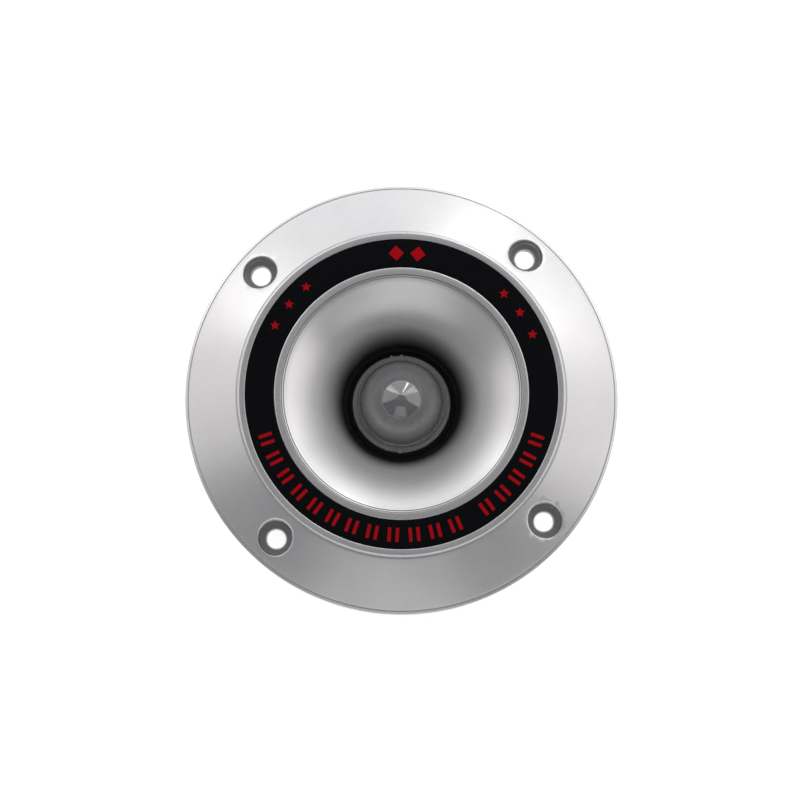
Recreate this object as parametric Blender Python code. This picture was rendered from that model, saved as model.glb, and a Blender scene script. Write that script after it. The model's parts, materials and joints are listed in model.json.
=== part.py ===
"""Horn-loaded bullet tweeter for a car door or parcel shelf, modelled piece by piece.

Metres, +Z up. The tweeter stands on the flat rear face of its cup, at Z = 0, and
fires up along +Z. The terminals face -Y.
"""

import math

import bmesh
import bpy
from mathutils import Matrix, Vector

# ---- Driving dimensions ----
GAP = 0.0003  # between two pieces that touch
THIN_GAP = 0.0001  # between the thin layers of the diaphragm stack
BIG_STEPS = 40  # sides of a large turned piece
SMALL_STEPS = 24  # sides of a small turned piece
TINY_STEPS = 12  # sides of a screw or a drilled hole

# Rear cup and magnet motor, from the bottom up
CUP_RADIUS = 0.037
CUP_TOP = 0.0197
CUP_WALL = 0.0022
CUP_FLAT_Y = -0.026  # the flat that carries the terminals
YOKE_RADIUS = 0.0355
YOKE_LOW = CUP_TOP + GAP
PLATE_THICKNESS = 0.005
POLE_RADIUS = 0.0123
MAGNET_RADIUS = 0.0365
MAGNET_BORE = 0.0205
MAGNET_THICKNESS = 0.0144
MAGNET_LOW = YOKE_LOW + PLATE_THICKNESS + GAP
PLATE_RADIUS = 0.0375
PLATE_BORE = 0.0137
PLATE_LOW = MAGNET_LOW + MAGNET_THICKNESS + GAP
PLATE_TOP = PLATE_LOW + PLATE_THICKNESS

# Horn casting
FLANGE_RADIUS = 0.050
FLANGE_REAR = 0.0556  # the plane that lies on the baffle
FLANGE_EDGE = 0.0028
FACE_TOP = 0.0661
SKIRT_RADIUS = 0.0375
SKIRT_WALL = 0.0027
SKIRT_LOW = PLATE_TOP + 0.001
THROAT_LOW = 0.0470
THROAT_RADIUS = 0.0135
FOOT_RADIUS = 0.0175
MOUTH_RADIUS = 0.0270
CHANNEL_INNER = 0.0291
CHANNEL_OUTER = 0.03575
CHANNEL_FLOOR = 0.0643
CHANNEL_UNDERSIDE = 0.0620
STEP_RING_RADIUS = 0.0372
CONE_TOP_RADIUS = 0.0379
CONE_TOP = 0.0651
FLARE_CONTROL = (0.0152, 0.0565)  # radius and height that the flare's curve leans towards
BACK_CONTROL = (0.0181, 0.0580)  # the same for the back of the bell
BELL_BACK_LOW = (FOOT_RADIUS - 0.0008, 0.0496)
BELL_BACK_TOP = (0.0265, CHANNEL_UNDERSIDE)
COLUMN_RADIUS = 0.0042  # metal round a screw, in the casting and in the cup
RELIEF_INNER, RELIEF_OUTER = 0.0399, 0.0466  # the groove behind the flange
RELIEF_DEPTH_INNER, RELIEF_DEPTH_OUTER = 0.0057, 0.0020
BEYOND = 0.002  # how far a cutter reaches past the face that it opens

# Fixing holes in the flange
HOLE_CIRCLE = 0.0435
HOLE_RADIUS = 0.00225
COUNTERBORE_RADIUS = 0.0040
COUNTERBORE_FLOOR = FLANGE_REAR + 0.0017
BOSS_RADIUS = 0.0053
HOLE_ANGLES = [45, 135, 225, 315]

# Screws
M3_SHANK = 0.0015
M3_CLEARANCE = 0.0018
M3_HEAD = 0.00275
M3_HEAD_HEIGHT = 0.0024
M3_POCKET = 0.0031
M3_COUNTERBORE = 0.0034
MOTOR_SCREW_CIRCLE = 0.0325
MOTOR_ANGLES = [0, 90, 180, 270]
MOTOR_SCREW_SEAT = 0.0610
CUP_SCREW_CIRCLE = 0.0315
CUP_ANGLES = [90, 210, 330]
CUP_SCREW_SEAT = 0.0030
CUP_SCREW_LENGTH = 0.0216
MOTOR_SCREW_TIP = 0.0410
STUD_RADIUS = 0.00125
STUD_CLEARANCE = 0.0016
STUD_LOW = 0.0158
STUD_TOP = 0.0527
NUT_CORNER = 0.00289  # 5 mm across its flats
NUT_HEIGHT = 0.0020
WASHER_RADIUS = 0.0030
WASHER_THICKNESS = 0.0005

# Clear phase plug
PLUG_RADIUS = 0.01075
PLUG_BASE_RADIUS = 0.0115
PLUG_SPIGOT_RADIUS = 0.0105
PLUG_WALL = 0.00125
PLUG_BOSS = 0.0040
PLUG_SHOULDER = 0.0478
PLUG_TIP = 0.0622

# Diaphragm stack
FRAME_LOW = PLATE_TOP + 0.0002
LAYER = 0.0006
FILM_LOW = FRAME_LOW + LAYER + THIN_GAP
FILM = 0.0002
COIL_RADIUS = 0.0127  # middle of the coil former's wall
FRAME_INNER = 0.0159
FRAME_OUTER = 0.0235
GASKET_INNER, GASKET_OUTER = 0.0164, 0.0173
SEAT_OUTER = 0.0109
TRAVEL_ROOM = 0.00095  # from the film to the underside of the plug's rim

# Leads, through holes in the yoke, the top plate and the frame
LEAD_CIRCLE = 0.0188
LEAD_ANGLES = [90, 270]
LEAD_RADIUS = 0.0007
LEAD_HOLE = 0.0011
TAB_TURN = math.radians(10)

# Push terminals
BLOCK_HALF_WIDTH = 0.0153
BLOCK_LOW, BLOCK_HIGH = 0.0032, 0.0168
BLOCK_MIDDLE = (BLOCK_LOW + BLOCK_HIGH) / 2
BLOCK_FRONT, BLOCK_BACK = -0.0300, -0.0225
BLOCK_WALL = 0.0018
BLOCK_FLANGE = 0.0210  # half width of the flange that lies on the cup
BLOCK_FLANGE_LOW, BLOCK_FLANGE_HIGH = 0.0020, 0.0180
BLOCK_FLANGE_THICKNESS = 0.0015
CHAMBER_HALF_WIDTH = 0.0055
CHAMBER_LOW, CHAMBER_HIGH = 0.0044, 0.0156
TERMINAL_X = 0.008
BUTTON_Z = 0.0116
BUTTON_HALF = (0.0042, 0.0027)  # half width and half height of the cap
BUTTON_FRONT = -0.0334
BASE_FRONT = BLOCK_FRONT + BLOCK_WALL + GAP  # the button's wider base
BASE_THICKNESS = 0.0018
WIRE_HOLE_Z = 0.0059
WIRE_HOLE_RADIUS = 0.0014
TERMINAL_SCREW_X = 0.0186
TERMINAL_SCREW_HOLE = 0.0013
CONTACT_LOW, CONTACT_HIGH = 0.0066, 0.0071
CONTACT_HALF_WIDTH = 0.0020
CONTACT_BACK = -0.0165
SPRING_RADIUS = 0.0020
SPRING_WIRE = 0.00022
SPRING_TURNS = 3.5

# Capacitor
CAPACITOR_RADIUS = 0.0050
CAPACITOR_LENGTH = 0.020
CAPACITOR_Y = 0.0140
CAPACITOR_Z = 0.0088
CAPACITOR_LEAD = 0.0045  # length of the bare wire at each end

# colour, roughness, metallic
FINISHES = {
    "silver_paint": ((0.62, 0.62, 0.63), 0.38, 0.55),
    "black_trim": ((0.012, 0.013, 0.016), 0.35, 0.0),
    "clear_plastic": ((0.55, 0.56, 0.57), 0.08, 0.0),
    "zinc_steel": ((0.55, 0.55, 0.53), 0.35, 1.0),
    "plated_plate": ((0.50, 0.50, 0.48), 0.42, 1.0),
    "ferrite": ((0.045, 0.045, 0.048), 0.60, 0.1),
    "black_screw": ((0.02, 0.02, 0.02), 0.45, 0.6),
    "black_plastic": ((0.02, 0.02, 0.021), 0.55, 0.0),
    "red_plastic": ((0.55, 0.02, 0.02), 0.40, 0.0),
    "brown_board": ((0.22, 0.12, 0.05), 0.65, 0.0),
    "brass": ((0.72, 0.52, 0.22), 0.35, 1.0),
    "copper_wire": ((0.70, 0.32, 0.16), 0.40, 1.0),
    "black_film": ((0.014, 0.014, 0.015), 0.40, 0.0),
    "gasket_foam": ((0.03, 0.03, 0.03), 0.90, 0.0),
    "red_insulation": ((0.50, 0.03, 0.03), 0.50, 0.0),
    "black_insulation": ((0.03, 0.03, 0.03), 0.50, 0.0),
    "capacitor_sleeve": ((0.03, 0.05, 0.16), 0.35, 0.0),
}


# ---- Tools ----
def clear_scene():
    for piece in list(bpy.data.objects):
        bpy.data.objects.remove(piece, do_unlink=True)


def finish_of(name, piece_name):
    """Each piece has its own material, in one of the finishes above."""
    color, roughness, metallic = FINISHES[name]
    material = bpy.data.materials.new(f"{piece_name}_{name}")
    material.use_nodes = True
    shader = material.node_tree.nodes["Principled BSDF"]
    shader.inputs["Base Color"].default_value = (*color, 1.0)
    shader.inputs["Roughness"].default_value = roughness
    shader.inputs["Metallic"].default_value = metallic
    return material


def add_piece(name, mesh, finish):
    piece = bpy.data.objects.new(name, mesh)
    bpy.context.scene.collection.objects.link(piece)
    piece.data.materials.append(finish_of(finish, name))
    if piece.type == "MESH":
        piece.data.shade_smooth()
        piece.data.set_sharp_from_angle(angle=math.radians(35))
    return piece


def add_cutter(name, mesh):
    cutter = bpy.data.objects.new(name, mesh)
    bpy.context.scene.collection.objects.link(cutter)
    cutter.display_type = "WIRE"
    cutter.hide_render = True
    return cutter


def cut(piece, *cutters):
    for cutter in cutters:
        modifier = piece.modifiers.new(f"less_{cutter.name}", "BOOLEAN")
        modifier.operation = "DIFFERENCE"
        modifier.object = cutter


def to_mesh(name, shape):
    mesh = bpy.data.meshes.new(name)
    shape.to_mesh(mesh)
    shape.free()
    return mesh


def turned(name, outline, steps):
    """Mesh of a closed outline of (radius, height) points, turned round Z."""
    shape = bmesh.new()
    points = [shape.verts.new((radius, 0.0, height)) for radius, height in outline]
    sides = [
        shape.edges.new((a, b))
        for a, b in zip(points, points[1:] + points[:1])
        if a.co.x > 0 or b.co.x > 0
    ]
    bmesh.ops.spin(
        shape,
        geom=points + sides,
        cent=(0, 0, 0),
        axis=(0, 0, 1),
        angle=math.tau,
        steps=steps,
        use_merge=True,
    )
    bmesh.ops.remove_doubles(shape, verts=shape.verts, dist=1e-6)
    bmesh.ops.recalc_face_normals(shape, faces=shape.faces)
    return to_mesh(name, shape)


def block(name, low, high, chamfer=0.0):
    """Mesh of a box between two corners, with its edges chamfered."""
    low, high = Vector(low), Vector(high)
    shape = bmesh.new()
    place = Matrix.Translation((low + high) / 2) @ Matrix.Diagonal((*(high - low), 1))
    bmesh.ops.create_cube(shape, size=1, matrix=place)
    if chamfer:
        bmesh.ops.bevel(
            shape,
            geom=shape.edges[:],
            offset=chamfer,
            segments=1,
            profile=0.5,
            affect="EDGES",
        )
    return to_mesh(name, shape)


def repeated(name, base, places):
    """One mesh that holds a copy of another at each place."""
    shape = bmesh.new()
    for place in places:
        first = len(shape.verts)
        shape.from_mesh(base)
        shape.verts.ensure_lookup_table()
        bmesh.ops.translate(shape, verts=shape.verts[first:], vec=place)
    return to_mesh(name, shape)


def round_places(radius, angles_deg):
    """Points on a circle round Z."""
    turns = [math.radians(angle) for angle in angles_deg]
    return [Vector((radius * math.cos(t), radius * math.sin(t), 0.0)) for t in turns]


def band(inner, outer, low, high, chamfer=0.0):
    """Outline of a flat ring whose outer edges are chamfered."""
    if not chamfer:
        return [(inner, low), (outer, low), (outer, high), (inner, high)]
    return [
        (inner, low),
        (outer - chamfer, low),
        (outer, low + chamfer),
        (outer, high - chamfer),
        (outer - chamfer, high),
        (inner, high),
    ]


def rod(radius, low, high):
    """Outline of a plain round bar on the axis."""
    return [(0, low), (radius, low), (radius, high), (0, high)]


def curve_points(start, control, end, count):
    """Points on the quadratic curve that leaves start towards control and ends at end."""
    found = []
    for i in range(count):
        t = i / (count - 1)
        weights = ((1 - t) ** 2, 2 * t * (1 - t), t * t)
        found.append(
            tuple(
                sum(w * p[axis] for w, p in zip(weights, (start, control, end)))
                for axis in (0, 1)
            )
        )
    return found


def smooth_route(points, per_span):
    """Points along the smooth curve (Catmull-Rom) that passes through the given ones."""
    points = [Vector(p) for p in points]
    ends = [2 * points[0] - points[1], *points, 2 * points[-1] - points[-2]]
    route = []
    for before, a, b, after in zip(ends, ends[1:], ends[2:], ends[3:]):
        for i in range(per_span):
            t = i / per_span
            route.append(
                0.5
                * (
                    2 * a
                    + (b - before) * t
                    + (2 * before - 5 * a + 4 * b - after) * t * t
                    + (3 * a - before - 3 * b + after) * t**3
                )
            )
    return route + [points[-1]]


def add_wire(name, points, radius, finish, sides=1):
    """A round wire along the points, with closed ends."""
    curve = bpy.data.curves.new(name, "CURVE")
    curve.dimensions = "3D"
    spline = curve.splines.new("POLY")
    spline.points.add(len(points) - 1)
    for spot, point in zip(spline.points, points):
        spot.co = (*point, 1.0)
    curve.bevel_depth = radius
    curve.bevel_resolution = sides
    curve.use_fill_caps = True
    return add_piece(name, curve, finish)


# ---- Horn casting ----
def casting_outline():
    """The casting's section with its fixing flange, before it is hollowed from behind."""
    rim = [
        (MOUTH_RADIUS, FACE_TOP - 0.0005),
        (MOUTH_RADIUS + 0.0006, FACE_TOP),
        (CHANNEL_INNER - 0.0003, FACE_TOP),
        (CHANNEL_INNER, FACE_TOP - 0.0003),
    ]
    flare = curve_points((THROAT_RADIUS, THROAT_LOW), FLARE_CONTROL, rim[0], 8)
    channel = [(CHANNEL_INNER, CHANNEL_FLOOR), (CHANNEL_OUTER, CHANNEL_FLOOR)]
    step_ring = [
        (CHANNEL_OUTER, FACE_TOP - 0.0002),
        (CHANNEL_OUTER + 0.0002, FACE_TOP),
        (STEP_RING_RADIUS - 0.0002, FACE_TOP),
        (STEP_RING_RADIUS + 0.0001, FACE_TOP - 0.0004),
        (CONE_TOP_RADIUS - 0.0003, CONE_TOP + 0.0001),
        (CONE_TOP_RADIUS, CONE_TOP),
    ]
    edge = [
        (FLANGE_RADIUS - 0.0006, FLANGE_REAR + FLANGE_EDGE),
        (FLANGE_RADIUS, FLANGE_REAR + FLANGE_EDGE - 0.0007),
        (FLANGE_RADIUS, FLANGE_REAR + 0.0005),
        (FLANGE_RADIUS - 0.0005, FLANGE_REAR),
    ]
    skirt = [
        (SKIRT_RADIUS, FLANGE_REAR),
        (SKIRT_RADIUS, SKIRT_LOW),
        (FOOT_RADIUS + 0.001, SKIRT_LOW),
        (FOOT_RADIUS + 0.001, THROAT_LOW),
    ]
    return flare + rim[1:] + channel + step_ring + edge + skirt


def column_tools(name, radius, circle, angles_deg, low, high):
    """Cylinders where a hollow has to leave metal standing."""
    base = turned(name, rod(radius, low, high), SMALL_STEPS)
    return add_cutter(name, repeated(name, base, round_places(circle, angles_deg)))


def casting_hollow():
    """The space behind the bell, open at the bottom, round the motor screws' columns."""
    inside = SKIRT_RADIUS - SKIRT_WALL
    outline = [
        (FOOT_RADIUS, THROAT_LOW - BEYOND),
        (FOOT_RADIUS, BELL_BACK_LOW[1] - 0.0006),
        *curve_points(BELL_BACK_LOW, BACK_CONTROL, BELL_BACK_TOP, 6),
        (inside, CHANNEL_UNDERSIDE),
        (inside, THROAT_LOW - BEYOND),
    ]
    hollow = add_cutter("bell_hollow", turned("bell_hollow", outline, BIG_STEPS))
    columns = column_tools(
        "screw_columns", COLUMN_RADIUS, MOTOR_SCREW_CIRCLE, MOTOR_ANGLES,
        SKIRT_LOW - 3 * BEYOND, CHANNEL_UNDERSIDE + BEYOND / 2,
    )
    cut(hollow, columns)
    return hollow


def flange_relief():
    """The groove behind the sloping flange, round the bosses of the fixing holes."""
    outline = [
        (RELIEF_INNER, FLANGE_REAR - BEYOND),
        (RELIEF_OUTER, FLANGE_REAR - BEYOND),
        (RELIEF_OUTER, FLANGE_REAR + RELIEF_DEPTH_OUTER),
        (RELIEF_INNER, FLANGE_REAR + RELIEF_DEPTH_INNER),
    ]
    relief = add_cutter("flange_relief", turned("flange_relief", outline, BIG_STEPS))
    low, high = FLANGE_REAR - 2 * BEYOND, CONE_TOP
    cut(relief, column_tools("hole_bosses", BOSS_RADIUS, HOLE_CIRCLE, HOLE_ANGLES, low, high))
    return relief


def stepped_holes(name, small, large, seat, low, high, circle, angles_deg, steps=TINY_STEPS):
    """Cutter for holes with a wider top above the seat."""
    outline = [(0, low), (small, low), (small, seat), (large, seat), (large, high), (0, high)]
    base = turned(name, outline, steps)
    return add_cutter(name, repeated(name, base, round_places(circle, angles_deg)))


def make_casting():
    body = turned("horn_casting", casting_outline(), BIG_STEPS)
    casting = add_piece("horn_casting", body, "silver_paint")
    above = FACE_TOP + BEYOND
    fixing = stepped_holes(
        "fixing_holes", HOLE_RADIUS, COUNTERBORE_RADIUS, COUNTERBORE_FLOOR,
        FLANGE_REAR - BEYOND, above, HOLE_CIRCLE, HOLE_ANGLES, SMALL_STEPS,
    )
    pockets = stepped_holes(
        "motor_screw_pockets", M3_CLEARANCE, M3_POCKET, MOTOR_SCREW_SEAT,
        SKIRT_LOW - 2 * BEYOND, above, MOTOR_SCREW_CIRCLE, MOTOR_ANGLES,
    )
    cut(casting, casting_hollow(), flange_relief(), fixing, pockets)


def make_front_trim():
    ring = band(CHANNEL_INNER + GAP, CHANNEL_OUTER - GAP, CHANNEL_FLOOR + GAP, FACE_TOP - GAP)
    add_piece("trim_ring", turned("trim_ring", ring, BIG_STEPS), "black_trim")
    inside = SKIRT_RADIUS - SKIRT_WALL + 0.0001
    seal = band(inside, SKIRT_RADIUS - 0.0002, PLATE_TOP + GAP, SKIRT_LOW - GAP)
    add_piece("horn_seal", turned("horn_seal", seal, BIG_STEPS), "gasket_foam")


# ---- Phase plug ----
def ogive(radius, low, high, count):
    """Outline of a bullet nose: an arc that leaves the body upright and ends at the tip."""
    length = high - low
    arc = (radius**2 + length**2) / (2 * radius)
    heights = [length * math.sin(math.pi / 2 * i / (count - 1)) for i in range(count)]
    return [(math.sqrt(arc**2 - h**2) + radius - arc, low + h) for h in heights[:-1]] + [(0, high)]


def make_plug():
    low = FILM_LOW + FILM + THIN_GAP
    rim_low = FILM_LOW + TRAVEL_ROOM
    nose = ogive(PLUG_RADIUS, PLUG_SHOULDER, PLUG_TIP, 9)
    inner = ogive(PLUG_RADIUS - PLUG_WALL, PLUG_SHOULDER, PLUG_TIP - 0.0018, 9)
    roof = [point for point in inner if point[0] > PLUG_BOSS + 0.0006]
    outline = [
        *reversed(nose),
        (PLUG_BASE_RADIUS, PLUG_SHOULDER),
        (PLUG_BASE_RADIUS, rim_low),
        (PLUG_SPIGOT_RADIUS, rim_low),
        (PLUG_SPIGOT_RADIUS, low),
        (PLUG_RADIUS - PLUG_WALL, low),
        *roof,
        (PLUG_BOSS, roof[-1][1] + 0.0004),
        (PLUG_BOSS, low),
        (STUD_CLEARANCE, low),
        (STUD_CLEARANCE, STUD_TOP + GAP),
        (0, STUD_TOP + GAP),
    ]
    add_piece("phase_plug", turned("phase_plug", outline, SMALL_STEPS), "clear_plastic")
    clamp = band(STUD_CLEARANCE, SEAT_OUTER, FRAME_LOW, FRAME_LOW + LAYER)
    add_piece("plug_seat", turned("plug_seat", clamp, SMALL_STEPS), "zinc_steel")
    stud = turned("plug_stud", rod(STUD_RADIUS, STUD_LOW, STUD_TOP), TINY_STEPS)
    add_piece("plug_stud", stud, "zinc_steel")
    washer_low = YOKE_LOW - GAP - WASHER_THICKNESS
    washer = band(STUD_CLEARANCE, WASHER_RADIUS, washer_low, YOKE_LOW - GAP)
    add_piece("plug_washer", turned("plug_washer", washer, SMALL_STEPS), "zinc_steel")
    nut_top = washer_low - GAP
    hexagon = turned("plug_nut", rod(NUT_CORNER, nut_top - NUT_HEIGHT, nut_top), 6)
    nut = add_piece("plug_nut", hexagon, "zinc_steel")
    bore = rod(STUD_CLEARANCE, STUD_LOW - BEYOND, YOKE_LOW)
    cut(nut, add_cutter("nut_bore", turned("nut_bore", bore, TINY_STEPS)))


# ---- Magnet motor ----
def make_motor():
    high = YOKE_LOW + PLATE_THICKNESS
    yoke_outline = [
        (STUD_CLEARANCE, YOKE_LOW),
        (YOKE_RADIUS - 0.0006, YOKE_LOW),
        (YOKE_RADIUS, YOKE_LOW + 0.0006),
        (YOKE_RADIUS, high),
        (POLE_RADIUS, high),
        (POLE_RADIUS, PLATE_TOP),
        (STUD_CLEARANCE, PLATE_TOP),
    ]
    yoke = add_piece("yoke", turned("yoke", yoke_outline, BIG_STEPS), "plated_plate")
    magnet = band(MAGNET_BORE, MAGNET_RADIUS, MAGNET_LOW, MAGNET_LOW + MAGNET_THICKNESS, 0.0007)
    add_piece("magnet", turned("magnet", magnet, BIG_STEPS), "ferrite")
    plate_outline = band(PLATE_BORE, PLATE_RADIUS, PLATE_LOW, PLATE_TOP, 0.0005)
    plate = add_piece("top_plate", turned("top_plate", plate_outline, BIG_STEPS), "plated_plate")
    below, above = YOKE_LOW - BEYOND, PLATE_TOP + 2 * BEYOND
    leads = drilled("lead_holes", LEAD_HOLE, below, above, LEAD_CIRCLE, LEAD_ANGLES)
    cup_taps = drilled("cup_screw_taps", M3_CLEARANCE, below, high + BEYOND, CUP_SCREW_CIRCLE, CUP_ANGLES)
    motor_taps = drilled(
        "motor_screw_taps", M3_CLEARANCE, PLATE_LOW - BEYOND, above, MOTOR_SCREW_CIRCLE, MOTOR_ANGLES
    )
    cut(yoke, leads, cup_taps)
    cut(plate, leads, motor_taps)
    return leads


def drilled(name, radius, low, high, circle, angles_deg):
    """Cutter for a set of plain holes on a circle."""
    base = turned(name, rod(radius, low, high), TINY_STEPS)
    return add_cutter(name, repeated(name, base, round_places(circle, angles_deg)))


def screw_mesh(name, seat, tip, head_radius=M3_HEAD, head_height=M3_HEAD_HEIGHT, shank=M3_SHANK):
    """A screw along Z with a socket in its head, which sits above the seat."""
    top = seat + head_height
    socket = head_radius * 0.5
    outline = [
        (0, tip),
        (shank * 0.7, tip),
        (shank, tip + shank * 0.5),
        (shank, seat),
        (head_radius, seat),
        (head_radius, top - 0.0003),
        (head_radius - 0.0003, top),
        (socket, top),
        (socket, top - head_height * 0.55),
        (0, top - head_height * 0.55),
    ]
    return turned(name, outline, TINY_STEPS)


def make_motor_screws():
    mesh = screw_mesh("motor_screw", MOTOR_SCREW_SEAT + GAP, MOTOR_SCREW_TIP)
    for number, place in enumerate(round_places(MOTOR_SCREW_CIRCLE, MOTOR_ANGLES), 1):
        add_piece(f"motor_screw_{number}", mesh.copy(), "black_screw").location = place


# ---- Diaphragm assembly ----
def film_outline(points):
    """Section of a thin film: its underside as given, and the same line a film's thickness up."""
    return points + [(radius, height + FILM) for radius, height in reversed(points)]


def make_diaphragm():
    low = FILM_LOW
    lifted = low + 0.00045
    cone = [(0.0116, lifted), (COIL_RADIUS, low + THIN_GAP), (0.0140, lifted)]
    add_piece("diaphragm", turned("diaphragm", film_outline(cone), SMALL_STEPS), "black_film")
    inner = [(0.0099, low), (0.0109, low), (0.0112, lifted), (0.0115, lifted)]
    add_piece("inner_surround", turned("inner_surround", film_outline(inner), SMALL_STEPS), "black_film")
    outer = [(0.0141, lifted), (0.0146, lifted + 0.0001), (0.0152, lifted), (0.0157, low), (0.0172, low)]
    add_piece("outer_surround", turned("outer_surround", film_outline(outer), SMALL_STEPS), "black_film")
    former = band(COIL_RADIUS - 0.0001, COIL_RADIUS + 0.0001, 0.0405, low + THIN_GAP / 2)
    add_piece("coil_former", turned("coil_former", former, SMALL_STEPS), "black_film")
    coil = band(COIL_RADIUS + 0.0002, COIL_RADIUS + 0.0006, 0.0411, 0.0444)
    add_piece("voice_coil", turned("voice_coil", coil, SMALL_STEPS), "copper_wire")


def make_frame(leads):
    frame_outline = band(FRAME_INNER, FRAME_OUTER, FRAME_LOW, FRAME_LOW + LAYER)
    ring = turned("diaphragm_frame", frame_outline, SMALL_STEPS)
    frame = add_piece("diaphragm_frame", ring, "black_plastic")
    cut(frame, leads)
    gasket_low = FILM_LOW + FILM + 2 * THIN_GAP
    gasket = band(GASKET_INNER, GASKET_OUTER, gasket_low, gasket_low + 0.0005)
    add_piece("throat_gasket", turned("throat_gasket", gasket, SMALL_STEPS), "gasket_foam")
    tab_low = FRAME_LOW + LAYER + THIN_GAP
    for polarity, angle in zip(("positive", "negative"), LEAD_ANGLES):
        turn = Matrix.Rotation(math.radians(angle) + TAB_TURN, 4, "Z")
        tab = block("tab", (0.0185, -0.0020, tab_low), (0.0225, 0.0020, tab_low + 0.0002))
        tab.transform(turn)
        add_piece(f"solder_tab_{polarity}", tab, "brass")
        tail = tail_mesh(FILM_LOW + FILM)
        tail.transform(turn)
        add_piece(f"coil_tail_{polarity}", tail, "black_film")


def tail_mesh(film_top):
    """Flat ribbon from the diaphragm over the outer surround to the frame's solder tab."""
    under = [
        (0.0134, film_top + 0.00050),
        (0.0142, film_top + 0.00060),
        (0.0149, film_top + 0.00065),
        (0.0153, film_top + 0.00060),
        (0.0159, film_top + 0.00005),
        (0.0190, film_top + 0.00005),
    ]
    section = under + [(x, z + 0.0001) for x, z in reversed(under)]
    shape = bmesh.new()
    face = shape.faces.new([shape.verts.new((x, -0.0005, z)) for x, z in section])
    pulled = bmesh.ops.extrude_face_region(shape, geom=[face])
    moved = [item for item in pulled["geom"] if isinstance(item, bmesh.types.BMVert)]
    bmesh.ops.translate(shape, verts=moved, vec=(0, 0.001, 0))
    bmesh.ops.recalc_face_normals(shape, faces=shape.faces)
    return to_mesh("coil_tail", shape)


# ---- Rear cup ----
def make_cup(screw_holes):
    outline = [
        (0, 0),
        (CUP_RADIUS - 0.0010, 0),
        (CUP_RADIUS, 0.0010),
        (CUP_RADIUS, CUP_TOP),
        (0, CUP_TOP),
    ]
    cup = add_piece("rear_cup", turned("rear_cup", outline, BIG_STEPS), "black_plastic")
    wall_y = CUP_FLAT_Y + CUP_WALL
    side, below, above = 2 * CUP_RADIUS, -BEYOND, CUP_TOP + BEYOND
    flats = [
        add_cutter(name, block(name, (-side, -side, below - BEYOND), (side, y, above + BEYOND)))
        for name, y in (("cup_flat", CUP_FLAT_Y), ("inner_flat", wall_y))
    ]
    inside = turned("cup_inside", rod(CUP_RADIUS - CUP_WALL, CUP_WALL, CUP_TOP + BEYOND / 2), BIG_STEPS)
    hollow = add_cutter("cup_inside", inside)
    bosses = column_tools("cup_bosses", COLUMN_RADIUS, CUP_SCREW_CIRCLE, CUP_ANGLES, CUP_WALL / 2, above)
    cut(hollow, flats[1], bosses)
    window_low = (-BLOCK_HALF_WIDTH - GAP, CUP_FLAT_Y - BEYOND, BLOCK_LOW - GAP)
    window_high = (BLOCK_HALF_WIDTH + GAP, wall_y + BEYOND, BLOCK_HIGH + GAP)
    window = add_cutter("terminal_window", block("terminal_window", window_low, window_high))
    holes = stepped_holes(
        "cup_screw_holes", M3_COUNTERBORE, M3_CLEARANCE, CUP_SCREW_SEAT,
        below, above, CUP_SCREW_CIRCLE, CUP_ANGLES,
    )
    cut(cup, flats[0], hollow, window, holes, screw_holes)


def make_cup_screws():
    """Three screws, driven from behind, hold the cup to the yoke."""
    mesh = screw_mesh("cup_screw", 0.0, -CUP_SCREW_LENGTH)
    mesh.transform(Matrix.Rotation(math.pi, 4, "X"))
    for number, place in enumerate(round_places(CUP_SCREW_CIRCLE, CUP_ANGLES), 1):
        piece = add_piece(f"cup_screw_{number}", mesh.copy(), "black_screw")
        piece.location = place + Vector((0, 0, CUP_SCREW_SEAT - GAP))


# ---- Push terminals ----
def both_sides(spread, y=0.0, z=0.0):
    """The places of the two terminals' matching features."""
    return [Vector((side * spread, y, z)) for side in (-1, 1)]


def holes_along_y(name, radius, places):
    """Cutter for plain holes along Y."""
    base = turned(name, rod(radius, -2 * BEYOND, 2 * BEYOND), TINY_STEPS)
    base.transform(Matrix.Rotation(math.pi / 2, 4, "X"))
    return add_cutter(name, repeated(name, base, places))


def make_terminal_block(screw_holes):
    """Housing with two wells for the buttons and two wire holes, open at the back."""
    body = block(
        "terminal_block",
        (-BLOCK_HALF_WIDTH, BLOCK_FRONT, BLOCK_LOW),
        (BLOCK_HALF_WIDTH, BLOCK_BACK, BLOCK_HIGH),
        0.0004,
    )
    housing = add_piece("terminal_block", body, "black_plastic")
    back = CUP_FLAT_Y - GAP
    plate = block(
        "terminal_flange",
        (-BLOCK_FLANGE, back - BLOCK_FLANGE_THICKNESS, BLOCK_FLANGE_LOW),
        (BLOCK_FLANGE, back, BLOCK_FLANGE_HIGH),
        0.0004,
    )
    flange = add_cutter("terminal_flange", plate)
    joined = housing.modifiers.new("with_flange", "BOOLEAN")
    joined.operation = "UNION"
    joined.object = flange
    middle = (BLOCK_FRONT + BLOCK_BACK) / 2
    chamber = block(
        "chamber",
        (-CHAMBER_HALF_WIDTH, BLOCK_FRONT + BLOCK_WALL, CHAMBER_LOW),
        (CHAMBER_HALF_WIDTH, BLOCK_BACK + BEYOND, CHAMBER_HIGH),
    )
    sides = both_sides(TERMINAL_X)
    chambers = add_cutter("chambers", repeated("chambers", chamber, sides))
    half_width, half_height = (half + GAP for half in BUTTON_HALF)
    window = block(
        "window",
        (-half_width, BLOCK_FRONT - BEYOND, BUTTON_Z - half_height),
        (half_width, middle, BUTTON_Z + half_height),
    )
    windows = add_cutter("button_windows", repeated("button_windows", window, sides))
    wires = holes_along_y(
        "wire_holes", WIRE_HOLE_RADIUS, both_sides(TERMINAL_X, BLOCK_FRONT, WIRE_HOLE_Z)
    )
    cut(housing, chambers, windows, wires, screw_holes)


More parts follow.
